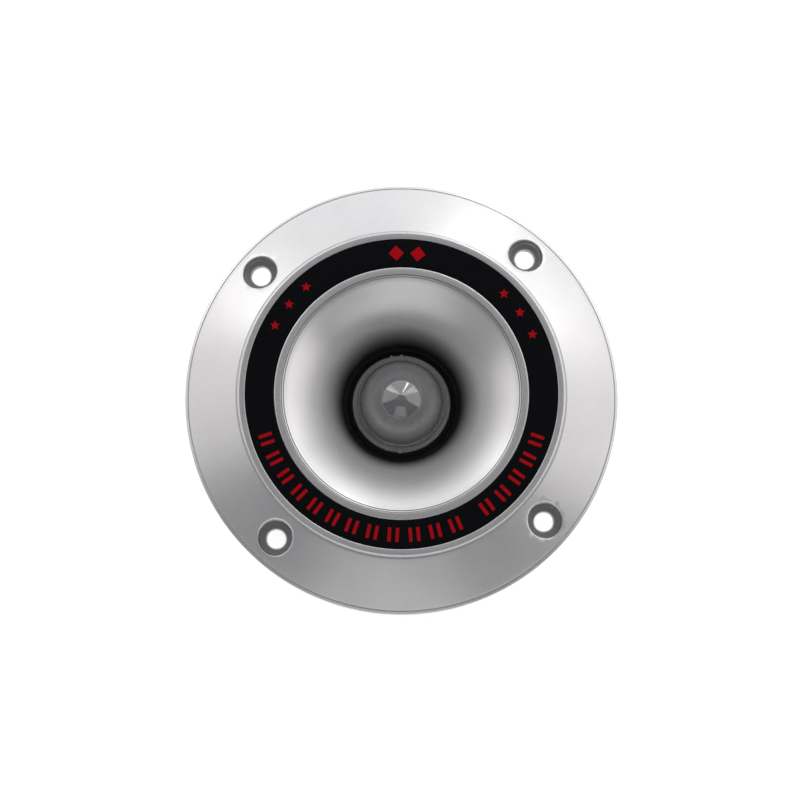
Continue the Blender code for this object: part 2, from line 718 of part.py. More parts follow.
def make_terminal_plate():
    """Board behind the housing that holds the springs and the contacts."""
    low = (-BLOCK_HALF_WIDTH, BLOCK_BACK + GAP, BLOCK_LOW + 0.0004)
    high = (BLOCK_HALF_WIDTH, BLOCK_BACK + GAP + 0.0015, BLOCK_HIGH - 0.0004)
    board = add_piece("terminal_board", block("terminal_board", low, high), "brown_board")
    slot = block(
        "slot",
        (-CONTACT_HALF_WIDTH - GAP, low[1] - BEYOND, CONTACT_LOW - GAP),
        (CONTACT_HALF_WIDTH + GAP, high[1] + BEYOND, CONTACT_HIGH + GAP),
    )
    slots = repeated("contact_slots", slot, both_sides(TERMINAL_X))
    cut(board, add_cutter("contact_slots", slots))


def make_buttons():
    """Each has a cap in front and a wider base that the housing's front wall keeps in."""
    half_width, half_height = BUTTON_HALF
    front = BASE_FRONT
    cap = block(
        "cap",
        (-half_width, BUTTON_FRONT, -half_height),
        (half_width, front + 0.0005, half_height),
        0.0006,
    )
    wide = half_width + 0.0009
    tall = half_height + 0.0009
    base = block("base", (-wide, front, -tall), (wide, front + BASE_THICKNESS, tall), 0.0002)
    places = both_sides(TERMINAL_X, 0, BUTTON_Z)
    colors = (("red_button", "red_plastic"), ("black_button", "black_plastic"))
    for (name, finish), place in zip(colors, places):
        piece = add_piece(name, cap.copy(), finish)
        piece.location = place
        foot = add_cutter(f"{name}_base", base.copy())
        foot.location = place
        joined = piece.modifiers.new("with_base", "BOOLEAN")
        joined.operation = "UNION"
        joined.object = foot


def make_button_springs():
    """Coil springs between the buttons' bases and the board."""
    start = BASE_FRONT + BASE_THICKNESS + GAP
    run = (BLOCK_BACK - start) - 2 * SPRING_WIRE
    per_turn = 8
    count = int(SPRING_TURNS * per_turn)
    for name, middle in zip(("red_spring", "black_spring"), both_sides(TERMINAL_X, 0, BUTTON_Z)):
        points = []
        for i in range(count + 1):
            angle = math.tau * i / per_turn
            across = SPRING_RADIUS * Vector((math.cos(angle), 0, math.sin(angle)))
            along = Vector((0, start + SPRING_WIRE + run * i / count, 0))
            points.append(middle + across + along)
        add_wire(name, points, SPRING_WIRE, "zinc_steel")


def make_contacts():
    front = BLOCK_FRONT + BLOCK_WALL + 0.001
    low = Vector((-CONTACT_HALF_WIDTH, front, CONTACT_LOW))
    high = Vector((CONTACT_HALF_WIDTH, CONTACT_BACK, CONTACT_HIGH))
    for name, side in zip(("red_contact", "black_contact"), both_sides(TERMINAL_X)):
        add_piece(name, block(name, low + side, high + side), "brass")


def make_terminal_screws():
    mesh = screw_mesh("terminal_screw", 0, -0.0055, 0.0019, 0.0012, 0.0010)
    mesh.transform(Matrix.Rotation(math.pi / 2, 4, "X"))
    front = CUP_FLAT_Y - GAP - BLOCK_FLANGE_THICKNESS - GAP
    for number, place in enumerate(both_sides(TERMINAL_SCREW_X, front, BLOCK_MIDDLE), 1):
        add_piece(f"terminal_screw_{number}", mesh.copy(), "black_screw").location = place


# ---- Crossover capacitor and leads ----
def make_capacitor():
    half = CAPACITOR_LENGTH / 2
    groove = half - 0.0028
    outline = [
        (0, -half),
        (CAPACITOR_RADIUS - 0.0008, -half),
        (CAPACITOR_RADIUS, -half + 0.0006),
        (CAPACITOR_RADIUS, groove - 0.0006),
        (CAPACITOR_RADIUS - 0.0006, groove),
        (CAPACITOR_RADIUS, groove + 0.0006),
        (CAPACITOR_RADIUS, half - 0.0006),
        (CAPACITOR_RADIUS - 0.0008, half),
        (0, half),
    ]
    can = add_piece("capacitor", turned("capacitor", outline, SMALL_STEPS), "capacitor_sleeve")
    can.location = (0, CAPACITOR_Y, CAPACITOR_Z)
    can.rotation_euler = (0, math.pi / 2, 0)
    pad = block(
        "capacitor_pad",
        (-0.008, CAPACITOR_Y - 0.003, CUP_WALL + GAP),
        (0.008, CAPACITOR_Y + 0.003, CAPACITOR_Z - CAPACITOR_RADIUS - GAP),
    )
    add_piece("capacitor_pad", pad, "gasket_foam")
    for name, side in (("capacitor_lead_in", -1), ("capacitor_lead_out", 1)):
        wire = turned(name, rod(0.0004, 0, CAPACITOR_LEAD), TINY_STEPS)
        lead = add_piece(name, wire, "zinc_steel")
        lead.location = (side * (half + GAP), CAPACITOR_Y, CAPACITOR_Z)
        lead.rotation_euler = (0, side * math.pi / 2, 0)


def make_leads():
    """Insulated leads: red terminal to capacitor, and both sides up to the diaphragm frame."""
    joint_x = CAPACITOR_LENGTH / 2 + GAP + CAPACITOR_LEAD + GAP
    red = [
        (-joint_x, CAPACITOR_Y, CAPACITOR_Z),
        (-0.0185, 0.0128, 0.0088),
        (-0.0205, 0.0060, 0.0088),
        (-0.0170, -0.0050, 0.0080),
        (-0.0110, -0.0115, 0.0072),
        (-0.0080, -0.0160, 0.0069),
    ]
    tip = FRAME_LOW + LAYER + THIN_GAP + 0.0012
    landing = LEAD_CIRCLE + 0.0022
    positive = [
        (joint_x, CAPACITOR_Y, CAPACITOR_Z),
        (0.0180, 0.0150, 0.0098),
        (0.0165, 0.0185, 0.0140),
        (0.0070, 0.0192, 0.0163),
        (0.0008, LEAD_CIRCLE, 0.0188),
        (0.0, LEAD_CIRCLE, 0.0215),
        (0.0, LEAD_CIRCLE, 0.0300),
        (0.0, LEAD_CIRCLE, 0.0400),
        (0.0, LEAD_CIRCLE, 0.0465),
        (-0.0012, LEAD_CIRCLE + 0.0008, 0.0480),
        (-0.0028, landing, tip + 0.0004),
    ]
    negative = [
        (0.0080, -0.0160, 0.0069),
        (0.0070, -0.0140, 0.0085),
        (0.0040, -0.0155, 0.0120),
        (0.0008, -LEAD_CIRCLE, 0.0165),
        (0.0, -LEAD_CIRCLE, 0.0200),
        (0.0, -LEAD_CIRCLE, 0.0300),
        (0.0, -LEAD_CIRCLE, 0.0400),
        (0.0, -LEAD_CIRCLE, 0.0465),
        (0.0012, -LEAD_CIRCLE - 0.0008, 0.0480),
        (0.0028, -landing, tip + 0.0004),
    ]
    add_wire("terminal_lead", smooth_route(red, 4), LEAD_RADIUS, "red_insulation")
    add_wire("positive_lead", smooth_route(positive, 3), LEAD_RADIUS, "red_insulation")
    add_wire("negative_lead", smooth_route(negative, 3), LEAD_RADIUS, "black_insulation")


def main():
    clear_scene()
    make_casting()
    make_front_trim()
    make_plug()
    leads = make_motor()
    make_motor_screws()
    make_diaphragm()
    make_frame(leads)
    places = both_sides(TERMINAL_SCREW_X, CUP_FLAT_Y, BLOCK_MIDDLE)
    screw_holes = holes_along_y("terminal_screw_holes", TERMINAL_SCREW_HOLE, places)
    make_cup(screw_holes)
    make_cup_screws()
    make_terminal_block(screw_holes)
    make_terminal_plate()
    make_buttons()
    make_button_springs()
    make_contacts()
    make_terminal_screws()
    make_capacitor()
    make_leads()


main()
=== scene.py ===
import json
import math

import bmesh
import bpy
from mathutils import Matrix, Vector


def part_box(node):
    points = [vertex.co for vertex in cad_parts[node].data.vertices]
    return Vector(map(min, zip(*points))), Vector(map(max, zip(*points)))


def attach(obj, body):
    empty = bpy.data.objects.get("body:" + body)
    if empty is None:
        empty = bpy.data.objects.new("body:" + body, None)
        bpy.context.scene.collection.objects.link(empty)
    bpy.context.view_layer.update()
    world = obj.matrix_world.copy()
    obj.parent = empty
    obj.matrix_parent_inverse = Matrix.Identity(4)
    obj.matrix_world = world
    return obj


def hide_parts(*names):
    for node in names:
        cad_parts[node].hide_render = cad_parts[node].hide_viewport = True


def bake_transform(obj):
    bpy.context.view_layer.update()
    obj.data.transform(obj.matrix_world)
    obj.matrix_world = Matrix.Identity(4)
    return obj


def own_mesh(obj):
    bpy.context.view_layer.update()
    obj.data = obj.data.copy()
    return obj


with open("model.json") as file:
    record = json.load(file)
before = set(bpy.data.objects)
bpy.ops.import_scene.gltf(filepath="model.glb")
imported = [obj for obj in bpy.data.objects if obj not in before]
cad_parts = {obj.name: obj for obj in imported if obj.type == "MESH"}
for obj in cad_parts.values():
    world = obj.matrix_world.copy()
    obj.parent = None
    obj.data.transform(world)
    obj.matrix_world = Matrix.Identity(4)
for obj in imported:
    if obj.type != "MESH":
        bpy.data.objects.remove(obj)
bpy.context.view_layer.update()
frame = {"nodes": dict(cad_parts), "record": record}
mm = 0.001
rest = "tweeter"  # the body that doesn't move
holeCircle = 43.5  # radius in mm of the circle through the flange's fixing holes


class Value:  # a node's output, usable in sums
    def __init__(self, paint, socket):
        self.paint = paint
        self.socket = socket

    def sum(self, operation, other, flip=False):
        pair = (other, self) if flip else (self, other)
        return self.paint.node("ShaderNodeMath", {"operation": operation}, dict(enumerate(pair)))

    def __add__(self, other):
        return self.sum("ADD", other)

    def __sub__(self, other):
        return self.sum("SUBTRACT", other)

    def __rsub__(self, other):
        return self.sum("SUBTRACT", other, flip=True)

    def __mul__(self, other):
        return self.sum("MULTIPLY", other)

    def __pow__(self, other):
        return self.sum("POWER", other)

    __radd__ = __add__
    __rmul__ = __mul__


class Paint:  # one material; numbers that don't vary go straight onto the shader
    def __init__(self, name, color, roughness, metallic=0.0, **fixed):
        self.material = bpy.data.materials.new(name)
        self.material.use_nodes = True
        self.tree = self.material.node_tree
        self.shader = self.tree.nodes["Principled BSDF"]
        self.put("Base Color", (*color, 1.0))
        self.put("Roughness", roughness)
        self.put("Metallic", metallic)
        for socket, value in fixed.items():
            self.put(socket.replace("_", " "), value)

    def connect(self, socket, value):
        if isinstance(value, Value):
            self.tree.links.new(value.socket, socket)
        else:
            socket.default_value = value

    def put(self, name, value):
        self.connect(self.shader.inputs[name], value)

    def node(self, kind, settings=None, sockets=None, out=0):
        # adds a node with its settings and inputs, and gives back one of its outputs
        made = self.tree.nodes.new(kind)
        for name, value in (settings or {}).items():
            setattr(made, name, value)
        for name, value in (sockets or {}).items():
            self.connect(made.inputs[name], value)
        return Value(self, made.outputs[out])

    def operate(self, operation, value):
        return self.node("ShaderNodeMath", {"operation": operation}, {0: value})

    def place(self):
        return self.node("ShaderNodeTexCoord", out=3)

    def axes(self):
        place = self.place()
        return [self.node("ShaderNodeSeparateXYZ", None, {0: place}, out=i) for i in range(3)]

    def radius(self):  # distance from the tweeter's axis
        x, y, _ = self.axes()
        return (x * x + y * y) ** 0.5

    def noise(self, size, detail=2.0, rough=0.5):  # size is the width of one blob, in metres
        sockets = {"Vector": self.place(), "Scale": 1 / size, "Detail": detail, "Roughness": rough}
        return self.node("ShaderNodeTexNoise", None, sockets)

    def cells(self, size):
        return self.node("ShaderNodeTexVoronoi", None, {"Vector": self.place(), "Scale": 1 / size})

    def span(self, value, low, high, start=0.0, end=1.0):  # a smooth step from start to end
        sockets = {"Value": value, "From Min": low, "From Max": high, "To Min": start, "To Max": end}
        return self.node("ShaderNodeMapRange", {"interpolation_type": "SMOOTHSTEP"}, sockets)

    def mix(self, factor, first, second):
        ends = [end if isinstance(end, Value) else (*end, 1.0) for end in (first, second)]
        sockets = {0: factor, 6: ends[0], 7: ends[1]}
        return self.node("ShaderNodeMix", {"data_type": "RGBA"}, sockets, out=2)

    def mottle(self, value, low, high, first, second):
        self.put("Base Color", self.mix(self.span(value, low, high), first, second))

    def bump(self, height, depth, under=None):
        sockets = {"Height": height, "Distance": depth, "Strength": 1.0}
        if under:
            sockets["Normal"] = under
        made = self.node("ShaderNodeBump", None, sockets)
        self.put("Normal", made)
        return made


def silverPaint():
    silver, dark, throat = (0.70, 0.695, 0.695), (0.62, 0.62, 0.625), (0.006, 0.006, 0.0075)
    paint = Paint("silverPaint", silver, 0.34, 0.9)
    flake = paint.noise(0.22 * mm, 3.0, 0.6)
    cloud = paint.noise(9 * mm, 3.0)
    mottle = paint.span(flake * 0.75 + cloud * 0.25, 0.36, 0.64)
    color = paint.mix(mottle, dark, silver)
    x, y, _ = paint.axes()
    middle = holeCircle * mm * math.sqrt(0.5)  # each fixing hole stands this far from both axes
    across = [paint.operate("ABSOLUTE", side) - middle for side in (x, y)]
    bore = (across[0] * across[0] + across[1] * across[1]) ** 0.5
    boreShade = paint.span(bore, 2.40 * mm, 2.65 * mm) * paint.span(bore, 3.80 * mm, 4.15 * mm, 1.0, 0.0)
    color = paint.mix(boreShade * 0.46, color, (0.09, 0.09, 0.095))  # painted shade inside the counterbores
    reach = paint.radius()
    thick = paint.span(reach, 25.6 * mm, 26.8 * mm, 1.0, 0.0)  # painted light: the flare inside the mouth is painted paler than the flange
    color = paint.mix(thick * 0.75, color, (0.88, 0.875, 0.87))
    edge = paint.noise(0.35 * mm, 2.0)
    shine = paint.span(reach + edge * (0.9 * mm), 13.7 * mm, 19.6 * mm)  # black mist thins out up the flare
    rough = paint.span(flake, 0.3, 0.7, 0.32, 0.40)
    paint.put("Base Color", paint.mix(shine, throat, color))
    paint.put("Roughness", 0.5 - shine * (0.5 - rough))
    paint.put("Metallic", shine * 0.85)
    peel = paint.bump(paint.noise(1.6 * mm, 2.0), 0.010 * mm)
    paint.bump(flake, 0.006 * mm, peel)
    return paint.material


def clearPlastic():
    paint = Paint("clearPlastic", (0.72, 0.715, 0.73), 0.03, IOR=1.49, Transmission_Weight=0.81,
                  Coat_Weight=1.0, Coat_IOR=2.0, Coat_Roughness=0.02)
    haze = paint.noise(3 * mm, 4.0)
    paint.mottle(paint.radius(), 6.3 * mm, 8.4 * mm, (0.52, 0.515, 0.53), (0.98, 0.975, 0.99))  # painted light: paler towards the rim, against the shade of the throat
    paint.put("Roughness", paint.span(haze, 0.35, 0.75, 0.015, 0.05))
    return paint.material


def satinBlack():
    paint = Paint("satinBlack", (0.0022, 0.0026, 0.0038), 0.42, Specular_IOR_Level=0.08)
    speck = paint.noise(0.5 * mm, 3.0)
    paint.put("Roughness", paint.span(speck, 0.3, 0.7, 0.36, 0.5))
    paint.bump(speck, 0.004 * mm)
    return paint.material


def redInk():
    paint = Paint("redInk", (0.42, 0.004, 0.007), 0.5, Specular_IOR_Level=0.05)
    grain = paint.noise(0.25 * mm, 3.0, 0.6)
    paint.mottle(grain, 0.3, 0.7, (0.34, 0.002, 0.005), (0.47, 0.004, 0.008))
    paint.bump(grain, 0.003 * mm)
    return paint.material


def mouldedPlastic(name, color, roughness=0.5, grain=0.35, depth=0.02):
    paint = Paint(name, color, roughness, Specular_IOR_Level=0.4)
    spark = paint.noise(grain * mm, 2.0)
    cloud = paint.noise(8 * mm, 3.0)
    paler = tuple(0.008 + 1.25 * part for part in color)
    paint.mottle(cloud, 0.35, 0.7, color, paler)
    paint.put("Roughness", paint.span(spark, 0.3, 0.7, roughness - 0.06, roughness + 0.08))
    paint.bump(spark, depth * mm)
    return paint.material


def platedSteel(name, color, roughness=0.3, turned=True):
    paint = Paint(name, color, roughness, 1.0)
    cloud = paint.noise(5 * mm, 4.0, 0.6)
    warm = tuple(part * tint for part, tint in zip(color, (0.90, 0.87, 0.78)))
    paint.mottle(cloud, 0.45, 0.8, color, warm)
    paint.put("Roughness", paint.span(cloud, 0.3, 0.7, roughness - 0.06, roughness + 0.1))
    if turned:  # fine rings left by the lathe
        rings = paint.operate("SINE", paint.radius() * (math.tau / (0.28 * mm)))
        paint.bump(rings * 0.5 + paint.noise(0.3 * mm, 2.0), 0.003 * mm)
    else:
        paint.bump(paint.noise(0.4 * mm, 2.0), 0.004 * mm)
    return paint.material


def ferrite():
    paint = Paint("ferrite", (0.035, 0.035, 0.038), 0.62, 0.15)
    pit = paint.noise(0.5 * mm, 4.0, 0.65)
    cloud = paint.noise(6 * mm, 3.0)
    paint.mottle(cloud, 0.35, 0.7, (0.028, 0.028, 0.031), (0.060, 0.059, 0.060))
    paint.put("Roughness", paint.span(pit, 0.3, 0.7, 0.5, 0.75))
    paint.bump(pit, 0.05 * mm)
    return paint.material


def woundCopper():
    paint = Paint("woundCopper", (0.62, 0.24, 0.10), 0.32, 1.0)
    _, _, z = paint.axes()
    turns = paint.operate("SINE", z * (math.tau / (0.15 * mm)))
    paint.mottle(turns, -1.0, 1.0, (0.30, 0.10, 0.04), (0.66, 0.27, 0.12))
    paint.bump(turns, 0.03 * mm)
    return paint.material


def blackFilm():
    paint = Paint("blackFilm", (0.008, 0.008, 0.009), 0.45, Specular_IOR_Level=0.2)
    weave = paint.noise(0.3 * mm, 3.0)
    paint.mottle(weave, 0.35, 0.7, (0.006, 0.006, 0.007), (0.016, 0.016, 0.017))
    paint.bump(weave, 0.01 * mm)
    return paint.material


def foam():
    paint = Paint("foam", (0.022, 0.022, 0.023), 0.9, Specular_IOR_Level=0.2)
    cell = paint.cells(0.55 * mm)
    paint.mottle(cell, 0.0, 0.5, (0.034, 0.034, 0.035), (0.012, 0.012, 0.012))
    paint.bump(cell, -0.12 * mm)
    return paint.material


def fibreBoard():
    paint = Paint("fibreBoard", (0.20, 0.105, 0.045), 0.6)
    fibre = paint.noise(0.7 * mm, 5.0, 0.7)
    paint.mottle(fibre, 0.3, 0.7, (0.15, 0.075, 0.03), (0.27, 0.15, 0.07))
    paint.bump(fibre, 0.02 * mm)
    return paint.material


def finishes():
    return {
        "silver_paint": silverPaint(),
        "black_trim": satinBlack(),
        "clear_plastic": clearPlastic(),
        "gasket_foam": foam(),
        "zinc_steel": platedSteel("zincSteel", (0.46, 0.46, 0.45), 0.30),
        "plated_plate": platedSteel("platedPlate", (0.36, 0.355, 0.34), 0.36),
        "ferrite": ferrite(),
        "black_screw": platedSteel("blackScrew", (0.045, 0.045, 0.048), 0.38, turned=False),
        "black_plastic": mouldedPlastic("blackPlastic", (0.014, 0.014, 0.015), 0.52),
        "red_plastic": mouldedPlastic("redPlastic", (0.50, 0.012, 0.012), 0.33, 0.8, 0.006),
        "brown_board": fibreBoard(),
        "brass": platedSteel("brass", (0.76, 0.54, 0.22), 0.26, turned=False),
        "copper_wire": woundCopper(),
        "black_film": blackFilm(),
        "red_insulation": mouldedPlastic("redInsulation", (0.42, 0.018, 0.018), 0.42, 0.5, 0.006),
        "black_insulation": mouldedPlastic("blackInsulation", (0.018, 0.018, 0.018), 0.42, 0.5, 0.006),
        "capacitor_sleeve": mouldedPlastic("capacitorSleeve", (0.012, 0.028, 0.12), 0.28, 1.0, 0.004),
    }


finish = finishes()
slotOf = {part["node"]: part["material_slot"] for part in frame["record"]["subparts"]}
for name, piece in frame["nodes"].items():
    piece.data.materials.clear()
    piece.data.materials.append(finish[slotOf[name]])
print("materials made for", len(slotOf), "nodes")


def outline(corners):
    # a flat face from (radius, height) corners in mm; a third number rounds the corner by that much
    shape = bmesh.new()
    points = [shape.verts.new((corner[0] * mm, 0, corner[1] * mm)) for corner in corners]
    shape.faces.new(points)
    for cut in sorted({corner[2] for corner in corners if len(corner) > 2}):
        chosen = [p for p, corner in zip(points, corners) if len(corner) > 2 and corner[2] == cut]
        bmesh.ops.bevel(
            shape, geom=chosen, offset=cut * mm, segments=4, profile=0.5,
            affect="VERTICES", material=-1, clamp_overlap=False,
        )
        points = [p if p and p.is_valid else None for p in points]
    return shape


def curve(start, control, end, count):
    found = []
    for i in range(count + 1):
        t = i / count
        a, b, c = (1 - t) ** 2, 2 * t * (1 - t), t * t
        found.append(tuple(a * p + b * q + c * s for p, q, s in zip(start, control, end)))
    return found


def turn(corners, steps=192, longest=1.2):
    # spins an outline round Z; long straight runs get cross rows, so that cuts in them shade cleanly
    shape = outline(corners)
    bmesh.ops.delete(shape, geom=shape.faces[:], context="FACES_ONLY")
    for edge in shape.edges[:]:
        cuts = int(edge.calc_length() / (longest * mm))
        if cuts:
            bmesh.ops.subdivide_edges(shape, edges=[edge], cuts=cuts)
    onAxis = [e for e in shape.edges if max(abs(v.co.x) for v in e.verts) < 1e-7]
    bmesh.ops.delete(shape, geom=onAxis, context="EDGES")
    bmesh.ops.spin(
        shape, geom=shape.verts[:] + shape.edges[:], cent=(0, 0, 0), axis=(0, 0, 1),
        angle=math.tau, steps=steps, use_merge=True,
    )
    bmesh.ops.remove_doubles(shape, verts=shape.verts[:], dist=1e-6)
    bmesh.ops.recalc_face_normals(shape, faces=shape.faces[:])
    return shape


def asObject(name, shape):
    mesh = bpy.data.meshes.new(name)
    shape.to_mesh(mesh)
    shape.free()
    made = bpy.data.objects.new(name, mesh)
    bpy.context.scene.collection.objects.link(made)
    return made


def carve(piece, tool, operation="DIFFERENCE"):
    # applies one boolean and removes its tool
    modifier = piece.modifiers.new("carve", "BOOLEAN")
    modifier.object = tool
    modifier.operation = operation
    modifier.solver = "MANIFOLD"
    graph = bpy.context.evaluated_depsgraph_get()
    made = bpy.data.meshes.new_from_object(piece.evaluated_get(graph))
    piece.modifiers.clear()
    piece.data = made
    bpy.data.objects.remove(tool)
    return piece


def settle(piece, material, body, nodes, slot=None, sharp=32):
    # smooth shading, finish, and the CAD nodes that the piece stands for
    piece.data.shade_smooth()
    piece.data.set_sharp_from_angle(angle=math.radians(sharp))
    piece.data.materials.clear()
    piece.data.materials.append(material)
    if body:
        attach(piece, body)
    if nodes:
        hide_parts(*nodes)
        slot = slot or slotOf[nodes[0]]
    return piece


def around(angles, radius):
    return [Vector((radius * math.cos(a), radius * math.sin(a), 0)) * mm for a in map(math.radians, angles)]


def copies(shape, places):
    # one bmesh with a copy of the shape at each place
    master = bpy.data.meshes.new("master")
    shape.to_mesh(master)
    shape.free()
    group = bmesh.new()
    for place in places:
        first = len(group.verts)
        group.from_mesh(master)
        group.verts.ensure_lookup_table()
        move = place if isinstance(place, Matrix) else Matrix.Translation(place)
        bmesh.ops.transform(group, matrix=move, verts=group.verts[first:])
    bpy.data.meshes.remove(master)
    return group


def box(low, high, soft=0.0, corner=0.0):
    # a box between two corners in mm; soft rounds its edges, corner first rounds those that run along Y
    shape = bmesh.new()
    bmesh.ops.create_cube(shape, size=1)
    bmesh.ops.scale(shape, vec=(Vector(high) - Vector(low)) * mm, verts=shape.verts[:])
    bmesh.ops.translate(shape, vec=(Vector(high) + Vector(low)) * (mm / 2), verts=shape.verts[:])
    if corner:
        upright = [e for e in shape.edges if abs((e.verts[0].co - e.verts[1].co).normalized().y) > 0.9]
        bmesh.ops.bevel(
            shape, geom=upright, offset=corner * mm, segments=6, profile=0.5, affect="EDGES", material=-1,
        )
    if soft:
        edges = [e for e in shape.edges if e.calc_face_angle(0) > 0.6]
        bmesh.ops.bevel(
            shape, geom=edges, offset=soft * mm, segments=3, profile=0.5, affect="EDGES", material=-1,
        )
    return shape


def rod(radius, low, high, steps=32):
    return turn([(0, low), (radius, low), (radius, high), (0, high)], steps, 90)


def drill(piece, radius, low, high, circle, angles):
    return carve(piece, asObject("drill", copies(rod(radius, low, high), around(angles, circle))))


def laid(shape, x, y, z):
    # turns a shape made along Z to face the -Y side, with its origin at a place in mm
    place = Matrix.Translation(Vector((x, y, z)) * mm) @ Matrix.Rotation(math.pi / 2, 4, "X")
    bmesh.ops.transform(shape, matrix=place, verts=shape.verts[:])
    return shape


def heights(node):
    return [corner.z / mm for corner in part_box(node)]


casting = {
    "flange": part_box("horn_casting")[1].x / mm,
    "face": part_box("horn_casting")[1].z / mm,
    "rear": 55.6, "skirt": 37.5, "skirtLow": 46.0,
    "throat": 13.5, "throatLow": 47.0, "foot": 17.5, "footHigh": 49.0,
    "mouth": 26.75, "flareLean": (15.2, 56.5),
    "channel": (29.08, 35.72), "channelFloor": 64.3,
    "stepRing": 37.1, "ledge": 37.85, "ledgeDrop": 0.98, "coneEnd": (49.12, 58.56), "crown": 0.13,
    "relief": (39.9, 46.6), "pocket": 1.8, "pocketHead": 3.2, "headSeat": 61.0,
    "holes": (45, 135, 225, 315), "holeCircle": holeCircle, "hole": 2.15, "counterbore": 4.0,
    "counterboreFloor": 57.3, "boss": 5.3,
    "screws": (0, 90, 180, 270), "screwCircle": 32.5, "column": 4.2,
}


def faceHeight(radius):
    # the flange's front is a shallow cone, slightly crowned
    c = casting
    high = c["face"] - c["ledgeDrop"]
    t = (radius - c["ledge"]) / (c["coneEnd"][0] - c["ledge"])
    return high + (c["coneEnd"][1] - high) * t + 4 * c["crown"] * t * (1 - t)


def castingCorners():
    c = casting
    top, rear, out = c["face"], c["rear"], c["flange"]
    inner, outer = c["channel"]
    mouth = c["mouth"]
    edge, edgeHigh = c["coneEnd"]
    flare = curve((c["throat"], c["throatLow"]), c["flareLean"], (mouth, top - 0.72), 30)
    back = curve((c["foot"] - 0.8, 49.6), (18.1, 58.0), (26.5, 62.0), 16)
    cone = [c["ledge"] + (edge - c["ledge"]) * i / 14 for i in range(1, 14)]
    return [
        *flare[:-1],
        (mouth + 0.12, top - 0.63, 0.04),  # two fine grooves between the horn and its rim
        (mouth + 0.16, top - 0.98, 0.02),
        (mouth + 0.26, top - 0.98, 0.02),
        (mouth + 0.30, top - 0.62, 0.04),
        (mouth + 0.54, top - 0.46, 0.04),
        (mouth + 0.58, top - 0.74, 0.03),
        (mouth + 0.68, top - 0.74, 0.03),
        (mouth + 0.74, top, 0.10),
        (inner, top, 0.30),
        (inner, c["channelFloor"], 0.12),
        (outer, c["channelFloor"], 0.12),
        (outer, top, 0.18),
        (c["stepRing"], top, 0.16),
        (c["stepRing"] + 0.28, top - 0.90, 0.12),
        (c["ledge"], top - c["ledgeDrop"], 0.15),
        *((radius, faceHeight(radius)) for radius in cone),
        (edge, edgeHigh, 0.06),
        (edge + 0.05, edgeHigh - 0.22, 0.04),  # the lip's groove
        (edge + 0.18, edgeHigh - 0.26, 0.04),
        (edge + 0.23, edgeHigh - 0.12, 0.04),
        (out, edgeHigh - 0.50, 0.10),
        (out, rear + 0.05, 0.45),
        (c["skirt"], rear, 0.3),
        (c["skirt"], c["skirtLow"], 0.35),
        (c["skirt"] - 2.7, c["skirtLow"], 0.2),
        (c["skirt"] - 2.7, 62.0, 0.5),
        *reversed(back),
        (c["foot"], c["footHigh"], 0.1),
        (c["foot"], c["throatLow"], 0.15),
    ]


def counterbores():
    # stepped holes whose rounded mouths follow the flange's front
    c = casting
    seat, hole, wide, rear = c["counterboreFloor"], c["hole"], c["counterbore"], c["rear"]
    level = faceHeight(c["holeCircle"])
    lip = 0.42
    angles = [math.radians(15 * i) for i in range(6)]
    mouth = [(wide + lip * (1 - math.cos(a)), level - lip + lip * math.sin(a) + 0.02) for a in angles]
    corners = [
        (0, rear - 3), (hole + 0.9, rear - 3), (hole + 0.9, rear - 0.15), (hole, rear + 0.35),
        (hole, seat - 0.3), (hole + 0.25, seat), (wide - 0.35, seat, 0.1), (wide, seat + 0.5, 0.1),
        *mouth, (wide + 3.0, level + 2.2), (0, level + 2.2),
    ]
    group = copies(turn(corners, 64, 2.0), around(c["holes"], c["holeCircle"]))
    for vert in group.verts:
        if vert.co.z > (seat + 0.55) * mm:
            vert.co.z += (faceHeight(math.hypot(vert.co.x, vert.co.y) / mm) - level) * mm
    return asObject("counterbores", group)


def hornCasting():
    c = casting
    rear, low = c["rear"], c["skirtLow"] + 0.05
    piece = asObject("hornCasting", turn(castingCorners()))
    column = turn([(0, low), (c["column"], low), (c["column"], 63), (0, 63)], 40, 3)
    carve(piece, asObject("columns", copies(column, around(c["screws"], c["screwCircle"]))), "UNION")
    inner, outer = c["relief"]  # the flange is hollow behind, except round its holes
    relief = asObject("relief", turn([
        (inner, rear - 2), (outer, rear - 2), (outer, rear + 2.0, 0.5), (inner, rear + 5.7, 0.8),
    ], 192, 3))
    boss = turn([(0, 50), (c["boss"], 50), (c["boss"], 64), (0, 64)], 64, 4)
    carve(relief, asObject("bosses", copies(boss, around(c["holes"], c["holeCircle"]))))
    carve(piece, relief)
    shank, head, seat = c["pocket"], c["pocketHead"], c["headSeat"]
    pocket = turn([(0, 44), (shank, 44), (shank, seat), (head, seat), (head, 66), (0, 66)], 32, 4)
    carve(piece, asObject("pockets", copies(pocket, around(c["screws"], c["screwCircle"]))))
    carve(piece, counterbores())
    return settle(piece, finish["silver_paint"], rest, ["horn_casting"], sharp=40)


hornCasting()
print("horn casting turned and bored")


trim = {"top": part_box("trim_ring")[1].z / mm, "low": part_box("trim_ring")[0].z / mm, "inner": 29.25, "outer": 35.60}
marks = {
    "row": 32.45, "starRow": 32.85, "height": 3.2, "thick": 0.03,
    "stars": (128.0, 137.8, 148.0, 40.6, 30.7, 20.5), "star": 1.18, "starWaist": 0.46,
    "bars": [195.4 + 8.45 * i for i in range(12)] + [302.8 + 8.5 * i for i in range(5)],
    "bar": 0.78, "gap": 1.8, "top": (79.6, 88.4), "diamond": 2.5, "upright": -3.7,
}


def trimRing():
    t = trim
    shape = turn([
        (t["inner"], t["low"], 0.1), (t["outer"], t["low"], 0.1),
        (t["outer"], t["top"], 0.14), (t["inner"], t["top"], 0.14),
    ])
    settle(asObject("trimRing", shape), finish["black_trim"], rest, ["trim_ring"])


